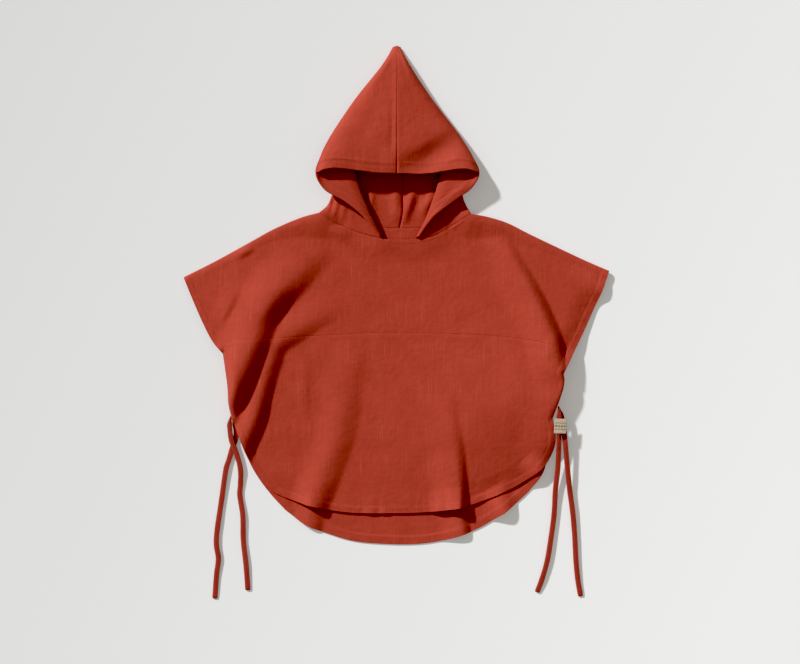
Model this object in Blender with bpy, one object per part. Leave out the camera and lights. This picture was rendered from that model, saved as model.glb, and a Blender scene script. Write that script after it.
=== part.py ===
"""A toddler's hooded bath poncho, laid face up on a flat surface.

The poncho is cut from soft double gauze.  A back panel lies on the surface, a yoke and a skirt
make the front, two half hoods meet in a centre seam, and four flat ties and a small label are
sewn in at the lower ends of the side seams.  X runs to the right, Y runs from the hems to the
point of the hood, Z is up.  All sizes in the tables are millimetres.
"""

from collections import namedtuple

import bpy
import numpy as np

MM = 0.001

# ---------------------------------------------------------------- cloth and seams
WALL = 1.2  # two plies of gauze
TIP_WALL = 0.7  # where the hood's point is narrow
SEAM_GAP = 0.3  # between the cut edges of two pieces that are sewn together
NECK_SEAM_GAP = 0.8  # between the neckline and the hood
AIR = 2.6  # between the back and the front where nothing lifts the front
LEAST_CROWN = 3.0  # the front rises at least this far above a sewn edge
CROWN_REACH = 75.0  # how far in from a sewn edge it is held up
HEM_SETBACK = 1.5  # the back's sleeve hem lies this far inside the front's

TIE_WIDTH = 8.0
TIE_THICK = 2.0
LABEL_SIZE = (18.5, 22.0)
LABEL_THICK = 0.8

# ---------------------------------------------------------------- plan of the garment
# Plan points are (x, y), from the first named end to the second.
NECK_LEFT = (-115.0, 123.0)
NECK_RIGHT = (112.0, 121.5)
TIP_LEFT = (-318.0, 26.5)
TIP_RIGHT = (319.0, 36.0)
UNDERARM_LEFT = (-259.0, -87.5)
UNDERARM_RIGHT = (249.5, -117.0)
TIE_LEFT = (-247.0, -180.0)
TIE_RIGHT = (233.0, -184.5)
FRONT_LOW_LEFT = (-134.0, -314.0)
FRONT_LOW_RIGHT = (151.0, -300.0)
BACK_LOW_LEFT = (-165.5, -322.5)
BACK_LOW_RIGHT = (162.0, -327.0)

FRONT_NECK = [NECK_LEFT, (-99.0, 112.5), (-79.5, 103.0), (-58.5, 94.5), (-36.0, 88.0), (-13.0, 83.5),
              (9.0, 82.5), (31.0, 83.5), (53.0, 88.0), (71.0, 96.0), (89.5, 108.0), NECK_RIGHT]
BACK_NECK = [NECK_LEFT, (-70.0, 108.0), (-20.0, 101.5), (6.0, 101.0), (42.0, 102.0), (80.0, 108.5),
             NECK_RIGHT]
SLEEVE_LEFT = [TIP_LEFT, (-306.0, -3.0), (-289.5, -40.5), (-274.5, -69.0), UNDERARM_LEFT]
SLEEVE_RIGHT = [TIP_RIGHT, (309.0, 7.5), (295.5, -22.5), (282.0, -52.5), (267.0, -83.0), UNDERARM_RIGHT]
CHEST_SEAM = [UNDERARM_LEFT, (-249.5, -69.5), (-208.5, -66.8), (-100.0, -60.0), (0.0, -56.3),
              (143.0, -60.8), (218.0, -71.0), (237.0, -81.0), UNDERARM_RIGHT]
BACK_SLEEVE_LEFT = [TIP_LEFT] + [(x + HEM_SETBACK, y) for x, y in SLEEVE_LEFT[1:-1]] + [UNDERARM_LEFT]
BACK_SLEEVE_RIGHT = [TIP_RIGHT] + [(x - HEM_SETBACK, y) for x, y in SLEEVE_RIGHT[1:-1]] + [UNDERARM_RIGHT]
FRONT_HEM_LEFT = [TIE_LEFT, (-238.0, -203.0), (-225.0, -235.5), (-209.0, -265.5), (-189.0, -291.0),
                  (-169.5, -302.0), FRONT_LOW_LEFT]
FRONT_HEM = [FRONT_LOW_LEFT, (-87.0, -324.0), (-42.0, -327.0), (34.5, -326.0), (82.0, -320.5),
             (112.0, -314.5), FRONT_LOW_RIGHT]
FRONT_HEM_RIGHT = [TIE_RIGHT, (238.0, -208.0), (235.5, -231.0), (220.0, -258.0), (185.0, -283.5),
                   FRONT_LOW_RIGHT]
BACK_HEM_LEFT = [TIE_LEFT, (-239.5, -203.0), (-226.0, -236.5), (-210.0, -268.0), (-188.5, -297.5),
                 BACK_LOW_LEFT]
BACK_HEM = [BACK_LOW_LEFT, (-133.5, -345.5), (-103.5, -357.0), (-64.5, -368.5), (-18.5, -373.0),
            (34.5, -373.0), (82.0, -365.0), (123.0, -350.0), BACK_LOW_RIGHT]
BACK_HEM_RIGHT = [TIE_RIGHT, (232.0, -215.0), (225.5, -247.0), (217.5, -270.0), (196.5, -297.0),
                  BACK_LOW_RIGHT]

# ---------------------------------------------------------------- heights
# Where front and back are sewn together: plan point, height of the seam, and how far in from
# the seam the front and the back keep rounding.
Seam = namedtuple("Seam", "x y height front_round back_round")
SHOULDER_LEFT = [
    Seam(*TIP_LEFT, 3, 8, 6),
    Seam(-268.5, 51.5, 3.5, 10, 7),
    Seam(-217.5, 79.5, 4.5, 12, 8),
    Seam(-184, 98, 5, 12, 8),
    Seam(-144, 115, 7, 14, 9),
    Seam(*NECK_LEFT, 9, 14, 10),
]
SHOULDER_RIGHT = [
    Seam(*NECK_RIGHT, 9, 14, 10),
    Seam(140, 116, 7, 14, 9),
    Seam(168, 107, 6, 12, 8),
    Seam(204, 89, 5, 12, 8),
    Seam(279, 53.5, 4.5, 9, 7),
    Seam(*TIP_RIGHT, 6, 7, 6),
]
SIDE_LEFT = [
    Seam(*UNDERARM_LEFT, 8, 14, 14),
    Seam(-252, -135, 12, 20, 18),
    Seam(-250.5, -162, 11, 19, 16),
    Seam(*TIE_LEFT, 8, 18, 14),
]
SIDE_RIGHT = [
    Seam(*UNDERARM_RIGHT, 24, 6, 24),
    Seam(250.5, -129, 26, 5, 28),
    Seam(248, -142.5, 26, 6, 28),
    Seam(240.6, -165, 23, 10, 28),
    Seam(*TIE_RIGHT, 21, 16, 28),
]

# A fold is a crest of (x, y, height) points.  "lit" is the width of its slope on the upper left
# side of a crest that runs down the garment, and "dark" that of the other, steeper slope.
Fold = namedtuple("Fold", "name lit dark crest")
FRONT_FOLDS = [
    Fold("left drape", 54, 31, [(-104, 80, 0), (-134, 52, 3), (-158, 24, 6.5), (-189, -9, 11.5),
                                (-205, -37, 12), (-213, -60, 13.5), (-222, -82, 15.5), (-231, -105, 18), (-241, -129, 20),
                                (-253, -153, 20), (-268, -185, 14)]),
    Fold("left shoulder", 150, 30, [(-104, 80, 0), (-134, 52, 2), (-158, 24, 4), (-189, -9, 7),
                                    (-214, -60, 7.5), (-231, -105, 9), (-252, -153, 10), (-268, -185, 8)]),
    Fold("left second", 40, 21, [(-80, -8, 0), (-112, -28, 1.5), (-138, -45, 3), (-179, -73, 7),
                                 (-190, -100, 9), (-204, -147, 12), (-210, -174, 13), (-219, -198, 13), (-228, -220, 12.5),
                                 (-234, -243, 10), (-236, -265, 5)]),
    Fold("left flute", 38, 29, [(-66, -60, 0), (-69, -105, 2.2), (-78, -130, 3.4), (-80, -153, 4),
                                (-81, -178, 4.5), (-86, -202, 5), (-93, -226, 5.5), (-101, -247, 6.2),
                                (-110, -274, 7.5), (-118, -292, 9), (-124, -308, 10), (-129, -332, 11)]),
    Fold("faint streak", 14, 12, [(-136, -90, 0), (-138, -115, 0.8), (-138, -165, 0.9), (-136, -195, 0)]),
    Fold("right flute", 46, 16, [(76, -130, 0), (78, -178, 2.2), (81, -199, 3.2), (88, -232, 5.2),
                                 (91, -262, 8), (93.5, -292, 10.5), (94, -325, 12)]),
    Fold("right swell", 300, 130, [(160, 110, 0), (185, 20, 4), (205, -50, 9), (226, -125, 17.5),
                                   (236, -160, 18), (248, -200, 13), (262, -250, 6), (276, -300, 1)]),
    Fold("right ridge", 46, 18, [(150, 98, 0), (170, 54, 6), (197, 9, 11), (219, -35, 13.5), (232, -67, 13.5),
                                 (243, -100, 10), (254, -130, 6), (251, -150, 5), (242, -170, 5),
                                 (234, -190, 5), (228, -215, 5), (214, -245, 3), (200, -268, 0)]),
    Fold("right hem lift", 60, 60, [(100, -318, 2), (151, -302, 4), (185, -285, 4), (220, -260, 4),
                                    (240, -225, 3)]),
    Fold("hem wave 1", 12, 12, [(-38, -296, 0), (-38, -328, 3)]),
    Fold("hem wave 2", 10, 10, [(-19, -300, 0), (-19, -328, 2.5)]),
    Fold("hem wave 3", 14, 14, [(60, -292, 0), (62, -326, 4)]),
    Fold("neckline", 40, 12, [(-66, 98, 2), (-22, 86, 4), (9, 82, 3), (40, 85, 4), (78, 100, 2)]),
    Fold("neck right", 12, 18, [(80, 100, 0), (104, 110, 5), (126, 112, 4), (146, 106, 0)]),
    Fold("neck left", 16, 16, [(-128, 112, 0), (-108, 104, 3.5), (-86, 94, 3), (-66, 86, 0)]),
    Fold("sleeve crease", 24, 9, [(-240, 12, 0), (-247, -10, 4), (-258, -30, 4), (-270, -52, 0)]),
    Fold("shoulder crease", 16, 10, [(-212, 74, 0), (-226, 66, 3), (-244, 56, 0)]),
    Fold("right cuff high", 26, 24, [(262, 40, 0), (290, 22, 3), (322, 8, 4)]),
    Fold("right cuff low", 26, 22, [(246, -44, 0), (262, -66, 4), (280, -84, 4)]),
]
BACK_FOLDS = [
    Fold("hem lift 1", 20, 20, [(92, -330, 0), (102, -366, 8)]),
    Fold("hem lift 2", 24, 24, [(142, -288, 0), (156, -314, 11), (166, -334, 15)]),
    Fold("hem lift 3", 26, 26, [(192, -244, 0), (210, -262, 9), (224, -278, 11)]),
    Fold("hem lift left", 20, 20, [(-114, -326, 0), (-122, -356, 5)]),
    Fold("right cuff", 24, 24, [(276, 22, 0), (312, 2, 3)]),
]

# ---------------------------------------------------------------- hood
# A row for each section of a half hood.  "front" starts the section, on the centre seam or on the
# edge round the face; "side" is the outer fold, with the height of its middle and how far its two
# layers stand apart; "roll" is where the cloth turns under; "tuck" is the hidden or collar fold
# below it; "back" is on the centre seam of the layer that lies on the surface; "turn" says how far
# the roll has formed, from 0 to 1.
Row = namedtuple("Row", "front side part roll tuck back turn")
LID_LEFT = [
    Row((1.5, 373, 11), (-5, 371, 8), 7, (-4, 370, 4), (-3, 370), (1.5, 370), 0),
    Row((1.5, 352, 16), (-16, 350, 11), 9, (-12, 349, 5), (-8, 349), (2, 349), 0),
    Row((1.5, 300, 25), (-57, 297, 14), 12, (-44, 297, 7), (-30, 297), (4, 297), 0),
    Row((1.5, 240, 30), (-97, 237, 18), 13, (-62, 236, 13), (-54, 236), (7, 236), 1),
    Row((1.5, 205, 30.5), (-112, 207, 24), 13, (-61, 206, 15), (-73, 206), (8.5, 205), 1),
    Row((1.5, 182, 28), (-120, 180, 27), 14, (-61, 185, 18), (-88, 182), (10, 182), 1),
]
LAPEL_LEFT = [
    Row(None, (-108, 158, 22), 0, (-57, 166, 19), (-93, 164), (10.5, 166), 1),
    Row(None, (-77, 139, 21), 0, (-50, 146, 19), (-97, 147), (10.5, 146), 1),
    Row(None, (-53, 120, 19), 0, (-40, 124, 18), (-103, 134), (10.5, 124), 1),
    Row(None, (-25, 88, 12.5), 0, (-22, 88.5, 12), (-115, 123.5), (6, 101.5), 1),
]
LID_RIGHT = [
    Row((1.5, 373, 11), (7, 371, 8), 7, (6, 370, 4), (4, 370), (1.5, 370), 0),
    Row((1.5, 352, 16), (17, 350, 13), 9, (14, 349, 5), (9, 349), (2, 349), 0),
    Row((1.5, 300, 25), (51, 297, 14), 12, (44, 297, 7), (32, 297), (4, 297), 0),
    Row((1.5, 240, 30), (96, 237, 17), 13, (70, 236, 13), (62, 236), (7, 236), 1),
    Row((1.5, 205, 30.5), (114, 207, 22), 13, (68, 206, 15), (80, 206), (8.5, 205), 1),
    Row((1.5, 182, 28), (124, 180, 28), 14, (67, 182, 18), (96, 180), (10, 182), 1),
]
LAPEL_RIGHT = [
    Row(None, (113, 159, 22), 0, (61, 158, 19), (99, 160), (10.5, 160), 1),
    Row(None, (88, 141, 21), 0, (55, 140, 18), (101, 144), (10.5, 142), 1),
    Row(None, (57, 117, 19.5), 0, (45, 114, 16), (106, 132), (10.5, 122), 1),
    Row(None, (34, 87, 12.5), 0, (30.5, 86, 12), (112, 122), (6, 101.5), 1),
]
HOOD_BACK_FOLDS = [
    Fold("nape ridge", 9, 10, [(27, 164, 0), (22, 146, 5.5), (14, 120, 4.5), (11, 106, 0)]),
    Fold("nape left", 9, 8, [(-6, 165, 0), (-6, 140, 3.5), (-6, 112, 0)]),
    Fold("nape far left", 9, 8, [(-38, 165, 0), (-38, 140, 4), (-36, 116, 0)]),
    Fold("nape right", 12, 12, [(58, 160, 0), (48, 138, 5), (36, 116, 0)]),
]
HOOD_LID_FOLDS = [
    Fold("right dent", 14, 24, [(86, 238, 0), (68, 228, -4), (42, 214, -6), (18, 202, -4.5), (6, 194, 0)]),
    Fold("beside the seam", 6, 6, [(-6, 300, 0), (-6, 240, -1.2), (-6, 200, 0)]),
]
# The edge round the face droops in its middle: x, and how far the edge lies up from a straight line.
FACE_EDGE = [(-120, 0), (-106, 5), (-92, 6.5), (-74, 5), (-52, 2), (-32, -1), (0, -2.5), (34, -2.5),
             (54, -1), (74, 2), (92, 5), (106, 5.5), (124, 0)]
FACE_REACH = (212, 182)  # the droop starts at the first y and is whole at the second

# ---------------------------------------------------------------- ties and label
# Route points of the ties, from the side seam to the free end.
TIE_ROUTES = {
    "tie_left_inner": [(-246.5, -181.2, 9.5), (-248.3, -190, 8.9), (-248.5, -199.5, 8.3), (-246, -217.5, 7.4),
                       (-239.5, -235.5, 6.4), (-233, -259.5, 5.5), (-233, -283.5, 3), (-234, -300, 2.5),
                       (-229.5, -331, 3.5), (-228.7, -367.5, 3), (-224.5, -406, 3.5), (-222, -442.5, 2)],
    "tie_left_outer": [(-244.6, -183.8, 7.2), (-242.6, -191, 6.2), (-240, -200, 4.6), (-240, -214, 3.4),
                       (-245.3, -229.5, 3), (-250, -246, 3), (-255, -262.5, 4), (-261, -304.5, 3),
                       (-268, -353, 3.5), (-269, -375, 4), (-266, -395, 3.5), (-269, -420, 2.5),
                       (-271.5, -455, 1.6)],
    "tie_right_inner": [(241.4, -173.6, 21.2), (242.8, -180, 20.6), (242.8, -195, 19.6), (243, -217.5, 17),
                        (242.5, -241.5, 13), (241.5, -262.5, 10), (238.5, -292.5, 7), (236.5, -330, 5),
                        (231.5, -367.5, 5), (226.5, -397.5, 5), (219, -424.5, 4), (211.5, -445.5, 2)],
    "tie_right_outer": [(245.4, -179.0, 18.2), (248.6, -188, 17.2), (250.8, -203, 16.2), (252.8, -225, 15),
                        (256.5, -262.5, 11), (260, -292.5, 7), (264.5, -325.5, 6), (267.5, -360, 5),
                        (269.5, -397.5, 4.5), (272.5, -427.5, 3.5), (276.8, -451.5, 2)],
}
TIE_STEP = 14.0  # along a tie, between two of its sections
LABEL_CENTRE = (244.5, -195.5, 24.4)
LABEL_TURN = -0.05
LABEL_DROP = 6.2  # from its left edge, on the skirt, to its right edge, on the ties

# ---------------------------------------------------------------- colours
CLOTH_COLOUR = (0.50, 0.085, 0.05, 1.0)
LABEL_COLOUR = (0.82, 0.72, 0.55, 1.0)


# ================================================================ lines and distances
def smooth(points, steps=12):
    """Points on a smooth curve through the given ones, which it passes in turn."""
    knots = np.array(points, float)
    ends = [2 * knots[0] - knots[1]], [2 * knots[-1] - knots[-2]]
    padded = np.vstack([ends[0], knots, ends[1]])
    t = np.linspace(0, 1, steps, endpoint=False)[:, None]
    runs = []
    for before, start, end, after in zip(padded, padded[1:], padded[2:], padded[3:]):
        leave = (end - before) / 2
        arrive = (after - start) / 2
        runs.append(
            (2 * t**3 - 3 * t**2 + 1) * start
            + (t**3 - 2 * t**2 + t) * leave
            + (3 * t**2 - 2 * t**3) * end
            + (t**3 - t**2) * arrive
        )
    return np.vstack(runs + [knots[-1:]])


def at_share(line, share):
    """Points at the given shares of a line's length."""
    step = np.linalg.norm(np.diff(line, axis=0), axis=1)
    run = np.concatenate([[0], np.cumsum(step)]) / step.sum()
    return np.stack([np.interp(share, run, line[:, k]) for k in range(line.shape[1])], axis=-1)


def nearest(line, x, y):
    """Signed distance to a line's plan, and the line's other columns at its nearest point.

    The sign is positive on the upper left side of a line that runs down the garment.
    """
    best = np.full(x.shape, np.inf)
    side = np.zeros(x.shape)
    carried = np.zeros(x.shape + (line.shape[1] - 2,))
    for start, end in zip(line[:-1], line[1:]):
        run = end[:2] - start[:2]
        t = np.clip(((x - start[0]) * run[0] + (y - start[1]) * run[1]) / (run @ run), 0, 1)
        away = (x - start[0] - t * run[0], y - start[1] - t * run[1])
        far = np.hypot(*away)
        closer = far < best
        best = np.where(closer, far, best)
        side = np.where(closer, away[0] * run[1] - away[1] * run[0], side)
        here = start[2:] + t[..., None] * (end[2:] - start[2:])
        carried = np.where(closer[..., None], here, carried)
    return np.where(side >= 0, best, -best), carried


# ================================================================ heights
SEWN = [
    (smooth(SHOULDER_LEFT), -1),
    (smooth(SHOULDER_RIGHT), -1),
    (smooth(SIDE_LEFT), 1),
    (smooth(SIDE_RIGHT), -1),
]
ON_OUTLINE = 0.4  # a point this near a sewn edge is on it


def ease(t):
    """0 to 1, level at both ends."""
    t = np.clip(t, 0, 1)
    return t * t * (3 - 2 * t)


def folded(folds, x, y):
    """Height that a table of folds adds at plan points."""
    total = np.zeros(x.shape)
    for fold in folds:
        far, carried = nearest(smooth(fold.crest, 6), x, y)
        share = np.clip(np.abs(far) / np.where(far >= 0, fold.lit, fold.dark), 0, 1)
        total += carried[..., 0] * np.where(far >= 0, ease(1 - share), (1 - share**2) ** 1.5)
    return total


def sewn_edge(x, y):
    """Distance out from the nearest sewn outer seam, and that seam's values there."""
    best = np.full(x.shape, np.inf)
    values = np.zeros(x.shape + (3,))
    for seam, outward in SEWN:
        far, carried = nearest(seam, x, y)
        closer = np.abs(far) < np.abs(best)
        best = np.where(closer, outward * far, best)
        values = np.where(closer[..., None], carried, values)
    return best, values[..., 0], values[..., 1], values[..., 2]


def rounding(out, radius):
    """0 at a rounded edge, 1 from a radius away."""
    inside = 1 - np.clip(np.abs(out) / radius, 0, 1)
    return np.sqrt(np.clip(1 - inside * inside, 0, 1))


def back_under(x, y):
    """Height of the back panel's underside."""
    out, height, _, radius = sewn_edge(x, y)
    rise = 1 - rounding(out, radius)
    return (height - SEAM_GAP / 2) * rise + (1 - rise) * folded(BACK_FOLDS, x, y)


def held_up(x, y):
    """Height at which the sewn edges hold the front up, highest next to them."""
    held = np.zeros(x.shape)
    for seam, outward in SEWN:
        far, carried = nearest(seam, x, y)
        held = np.maximum(held, (carried[..., 0] + LEAST_CROWN) * ease(1 - np.abs(far) / CROWN_REACH))
    return held


def front_top(x, y):
    """Height of the front's outer side."""
    out, height, radius, _ = sewn_edge(x, y)
    free = folded(BACK_FOLDS, x, y) + 2 * WALL + AIR + folded(FRONT_FOLDS, x, y)
    low = height + SEAM_GAP / 2
    return low + (np.maximum(free, held_up(x, y)) - low) * rounding(out, radius)


def slope_normals(height, x, y, outward):
    """Unit normals, pointing up, of a height function; level on the sewn outline.

    "outward" is 1 for a side that faces out at the outline and -1 for one that faces in.
    """
    reach = 0.6
    east = (height(x + reach, y) - height(x - reach, y)) / (2 * reach)
    north = (height(x, y + reach) - height(x, y - reach)) / (2 * reach)
    normals = np.stack([-east, -north, np.ones_like(east)], axis=-1)
    out = sewn_edge(x, y)[0]
    level = np.stack(
        [
            sewn_edge(x + reach, y)[0] - sewn_edge(x - reach, y)[0],
            sewn_edge(x, y + reach)[0] - sewn_edge(x, y - reach)[0],
            np.zeros_like(x),
        ],
        axis=-1,
    )
    normals = np.where((np.abs(out) < ON_OUTLINE)[..., None], outward * level, normals)
    return normals / np.linalg.norm(normals, axis=-1, keepdims=True)


# ================================================================ solids
LEFT_COLUMNS = 17  # of the front, under the left shoulder, where its largest folds run
RIGHT_COLUMNS = 11
LID_STEPS = (2, 3, 2)  # columns of the hood between the waypoints of its upper layer
LOWER_STEPS = (2, 1, 2, 2, 2, 4, 2, 2, 2, 3)  # and of everything below the side fold
LID_ROWS = (2, 3, 3, 3, 2)  # rows between the sections
LAPEL_ROWS = (3, 3, 3, 4)
ROLL_REACH = 8.0  # how far in from the roll and the tuck of the hood its two layers are level


def material(name, colour, roughness):
    made = bpy.data.materials.new(name)
    made.use_nodes = True
    shader = made.node_tree.nodes["Principled BSDF"]
    shader.inputs["Base Color"].default_value = colour
    shader.inputs["Roughness"].default_value = roughness
    shader.inputs["Metallic"].default_value = 0.0
    return made


def triangles(faces, points):
    """Faces with four corners cut in two along their shorter diagonal."""
    cut = []
    for face in faces:
        if len(face) == 3:
            cut.append(face)
            continue
        a, b, c, d = face
        first = np.sum((points[a] - points[c]) ** 2)
        second = np.sum((points[b] - points[d]) ** 2)
        cut += [(a, b, c), (a, c, d)] if first <= second else [(a, b, d), (b, c, d)]
    return cut


def closed_shell(name, outer, inner, faces, colour):
    """A closed wall between two sets of points that share their faces."""
    points = np.vstack([outer, inner])
    count = len(outer)
    faces = triangles(faces, points)
    edges = {(a, b) for face in faces for a, b in zip(face, face[1:] + face[:1])}
    rim = [(b, a, a + count, b + count) for a, b in sorted(edges) if (b, a) not in edges]
    under = [tuple(index + count for index in reversed(face)) for face in faces]
    mesh = bpy.data.meshes.new(name)
    mesh.from_pydata((points * MM).tolist(), [], faces + under + triangles(rim, points))
    mesh.validate()
    mesh.shade_smooth()
    mesh.set_sharp_from_angle(angle=1.0)
    made = bpy.data.objects.new(name, mesh)
    mesh.materials.append(material(name, colour, 0.9))
    bpy.context.scene.collection.objects.link(made)
    return made


def grid_faces(rows, columns):
    """Faces of a grid whose rows run down the garment and whose columns run to the right."""
    return [
        (r * columns + c, (r + 1) * columns + c, (r + 1) * columns + c + 1, r * columns + c + 1)
        for r in range(rows - 1)
        for c in range(columns - 1)
    ]


def spread(stops):
    """Values from stops of (value, steps up to the next stop)."""
    values = [
        np.linspace(start, end, steps, endpoint=False)
        for (start, steps), (end, _) in zip(stops, stops[1:])
    ]
    return np.concatenate(values + [[stops[-1][0]]])


def patch(top, bottom, left, right, across, down):
    """Plan points of a grid between four edge lines.

    "across" holds the shares of the top and of the bottom line, "down" those of the sides.
    """
    upper = at_share(top, across[0])[None]
    lower = at_share(bottom, across[1])[None]
    first = at_share(left, down)[:, None]
    last = at_share(right, down)[:, None]
    u = np.linspace(0, 1, len(across[0]))[None, :, None]
    v = down[:, None, None]
    corners = (1 - v) * ((1 - u) * top[0] + u * top[-1]) + v * ((1 - u) * bottom[0] + u * bottom[-1])
    return (1 - v) * upper + v * lower + (1 - u) * first + u * last - corners


def split_along(faces, points, height):
    """Four-sided faces cut in two along the diagonal that lies closer to the height function."""
    corners = points[np.array(faces)]
    falling = (corners[:, 0] + corners[:, 2]) / 2
    rising = (corners[:, 1] + corners[:, 3]) / 2
    miss = [np.abs(height(m[:, 0], m[:, 1]) - m[:, 2]) for m in (falling, rising)]
    cut = []
    for (a, b, c, d), fall in zip(faces, miss[0] <= miss[1]):
        cut += [(a, b, c), (a, c, d)] if fall else [(a, b, d), (b, c, d)]
    return cut


def panel(name, plan, height, outward, wall_side, seam_row=None, shift=0.0):
    """A cloth wall on a height function; "wall_side" is -1 where the wall lies below it.

    "seam_row" is the row that is sewn to another panel, and "shift" moves it off the seam.
    """
    x, y = plan[..., 0], plan[..., 1]
    surface = np.stack([x, y, height(x, y)], axis=-1)
    other = surface + wall_side * WALL * slope_normals(height, x, y, outward)
    upper, lower = (surface, other) if wall_side < 0 else (other, surface)
    faces = split_along(grid_faces(*x.shape), surface.reshape(-1, 3), height)
    if seam_row is not None:
        along = np.gradient(plan[seam_row], axis=0)
        along /= np.linalg.norm(along, axis=1, keepdims=True)
        off = shift * np.stack([-along[:, 1], along[:, 0], np.zeros(len(along))], axis=1)
        upper[seam_row] += off
        lower[seam_row] += off
        for end, inward in ((0, WALL), (-1, -WALL)):
            lower[seam_row, end] = upper[seam_row, end] + inward * np.array([*along[end], 0])
    return closed_shell(name, upper.reshape(-1, 3), lower.reshape(-1, 3), faces, CLOTH_COLOUR)


def plan_of(line):
    return smooth(line)[:, :2]


def share_of(line, point):
    """The share of a line's length at which it passes a point."""
    shares = np.linspace(0, 1, 2001)
    away = np.linalg.norm(at_share(line, shares) - np.array(point), axis=1)
    return shares[np.argmin(away)]


def neck_shares(line, start, end, steps):
    """Shares of a neckline from one share to another, in three runs; the outer runs are short."""
    length = np.linalg.norm(np.diff(line, axis=0), axis=1).sum()
    near = ROLL_REACH / length * np.sign(end - start)
    stops = [start, start + near, end - near, end] if len(steps) == 3 else [start, start + near, end]
    return spread(list(zip(stops, list(steps) + [0])))


def edge_shares(inner, left, right, near, far):
    """Shares of an edge line with the given ones in its middle and close ones at its ends."""
    before = spread([(0, 1), (near, 1), (far, left), (inner[0], 0)])
    after = spread([(inner[-1], right), (1 - far, 1), (1 - near, 1), (1, 0)])
    return np.concatenate([before[:-1], inner, after[1:]])


def within(line, part, shares):
    """Shares of a line that stand for shares of the part of it between two points."""
    first, last = share_of(line, part[0]), share_of(line, part[-1])
    return first + (last - first) * shares


COLLAR_STEPS = LOWER_STEPS[4:7]  # columns of the hood on the front neckline
NAPE_STEPS = (LOWER_STEPS[7], LOWER_STEPS[8] + LOWER_STEPS[9])  # and on half the back's


def build_back():
    neck = plan_of(BACK_NECK)
    top = np.vstack([plan_of(SHOULDER_LEFT), neck[1:], plan_of(SHOULDER_RIGHT)[1:]])
    left = np.vstack([plan_of(BACK_SLEEVE_LEFT), plan_of(SIDE_LEFT)[1:], plan_of(BACK_HEM_LEFT)[1:]])
    right = np.vstack([plan_of(BACK_SLEEVE_RIGHT), plan_of(SIDE_RIGHT)[1:], plan_of(BACK_HEM_RIGHT)[1:]])
    centre = share_of(neck, LAPEL_LEFT[-1].back)
    nape = np.concatenate([neck_shares(neck, 0, centre, NAPE_STEPS),
                           neck_shares(neck, 1, centre, NAPE_STEPS)[-2::-1]])
    middle = len(nape)
    along_top = edge_shares(within(top, neck, nape), 6, 6, 0.005, 0.014)
    along_hem = edge_shares(np.linspace(0.3, 0.7, middle), 6, 6, 0.005, 0.014)
    down = spread([(0, 1), (0.004, 1), (0.011, 1), (0.022, 1), (0.045, 6), (0.5, 6), (0.86, 5), (1, 0)])
    plan = patch(top, plan_of(BACK_HEM), left, right, (along_top, along_hem), down)
    return panel("back", plan, back_under, -1, 1)


def build_front():
    neck = plan_of(FRONT_NECK)
    top = np.vstack([plan_of(SHOULDER_LEFT), neck[1:], plan_of(SHOULDER_RIGHT)[1:]])
    seam = plan_of(CHEST_SEAM)
    lapels = [share_of(neck, rows[-1].roll[:2]) for rows in (LAPEL_LEFT, LAPEL_RIGHT)]
    collar = np.concatenate([neck_shares(neck, 0, lapels[0], COLLAR_STEPS),
                             [(lapels[0] + lapels[1]) / 2],
                             neck_shares(neck, 1, lapels[1], COLLAR_STEPS)[::-1]])
    middle = len(collar)
    along_top = edge_shares(within(top, neck, collar), LEFT_COLUMNS, RIGHT_COLUMNS, 0.006, 0.02)
    along_seam = edge_shares(np.linspace(0.29, 0.7, middle), LEFT_COLUMNS, RIGHT_COLUMNS, 0.006, 0.02)
    along_hem = edge_shares(np.linspace(0.27, 0.73, middle), LEFT_COLUMNS, RIGHT_COLUMNS, 0.006, 0.02)
    down = spread([(0, 1), (0.01, 1), (0.03, 1), (0.065, 1), (0.12, 9), (1, 0)])
    plan = patch(top, seam, plan_of(SLEEVE_LEFT), plan_of(SLEEVE_RIGHT), (along_top, along_seam), down)
    panel("front_yoke", plan, front_top, 1, -1, -1, SEAM_GAP / 2)

    left = np.vstack([plan_of(SIDE_LEFT), plan_of(FRONT_HEM_LEFT)[1:]])
    right = np.vstack([plan_of(SIDE_RIGHT), plan_of(FRONT_HEM_RIGHT)[1:]])
    down = spread([(0, 1), (0.02, 20), (0.98, 1), (1, 0)])
    plan = patch(seam, plan_of(FRONT_HEM), left, right, (along_seam, along_hem), down)
    panel("front_skirt", plan, front_top, 1, -1, 0, -SEAM_GAP / 2)


# ---------------------------------------------------------------- hood
FOLD_REACH = 9.0  # how far in from the side fold its two layers are level
ROLL_SHARE = 0.42  # of the roll's height, between its two layers
TUCK_SHARE = 0.45  # of the roll's height, the height of the tuck, which lies on the surface
LID_DOME = 0.16  # share of the lid's rise by which it bulges between its middle and its side
NECK_REACH = 0.45  # share of the lapel over which the hood bends to the neck seam


def toward(start, end, distance):
    """The point at a plan distance from the start, at the start's height."""
    run = np.array(end[:2], float) - np.array(start[:2], float)
    run /= max(np.hypot(*run), 1e-6)
    return np.array([start[0] + distance * run[0], start[1] + distance * run[1], start[2]])


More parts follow.
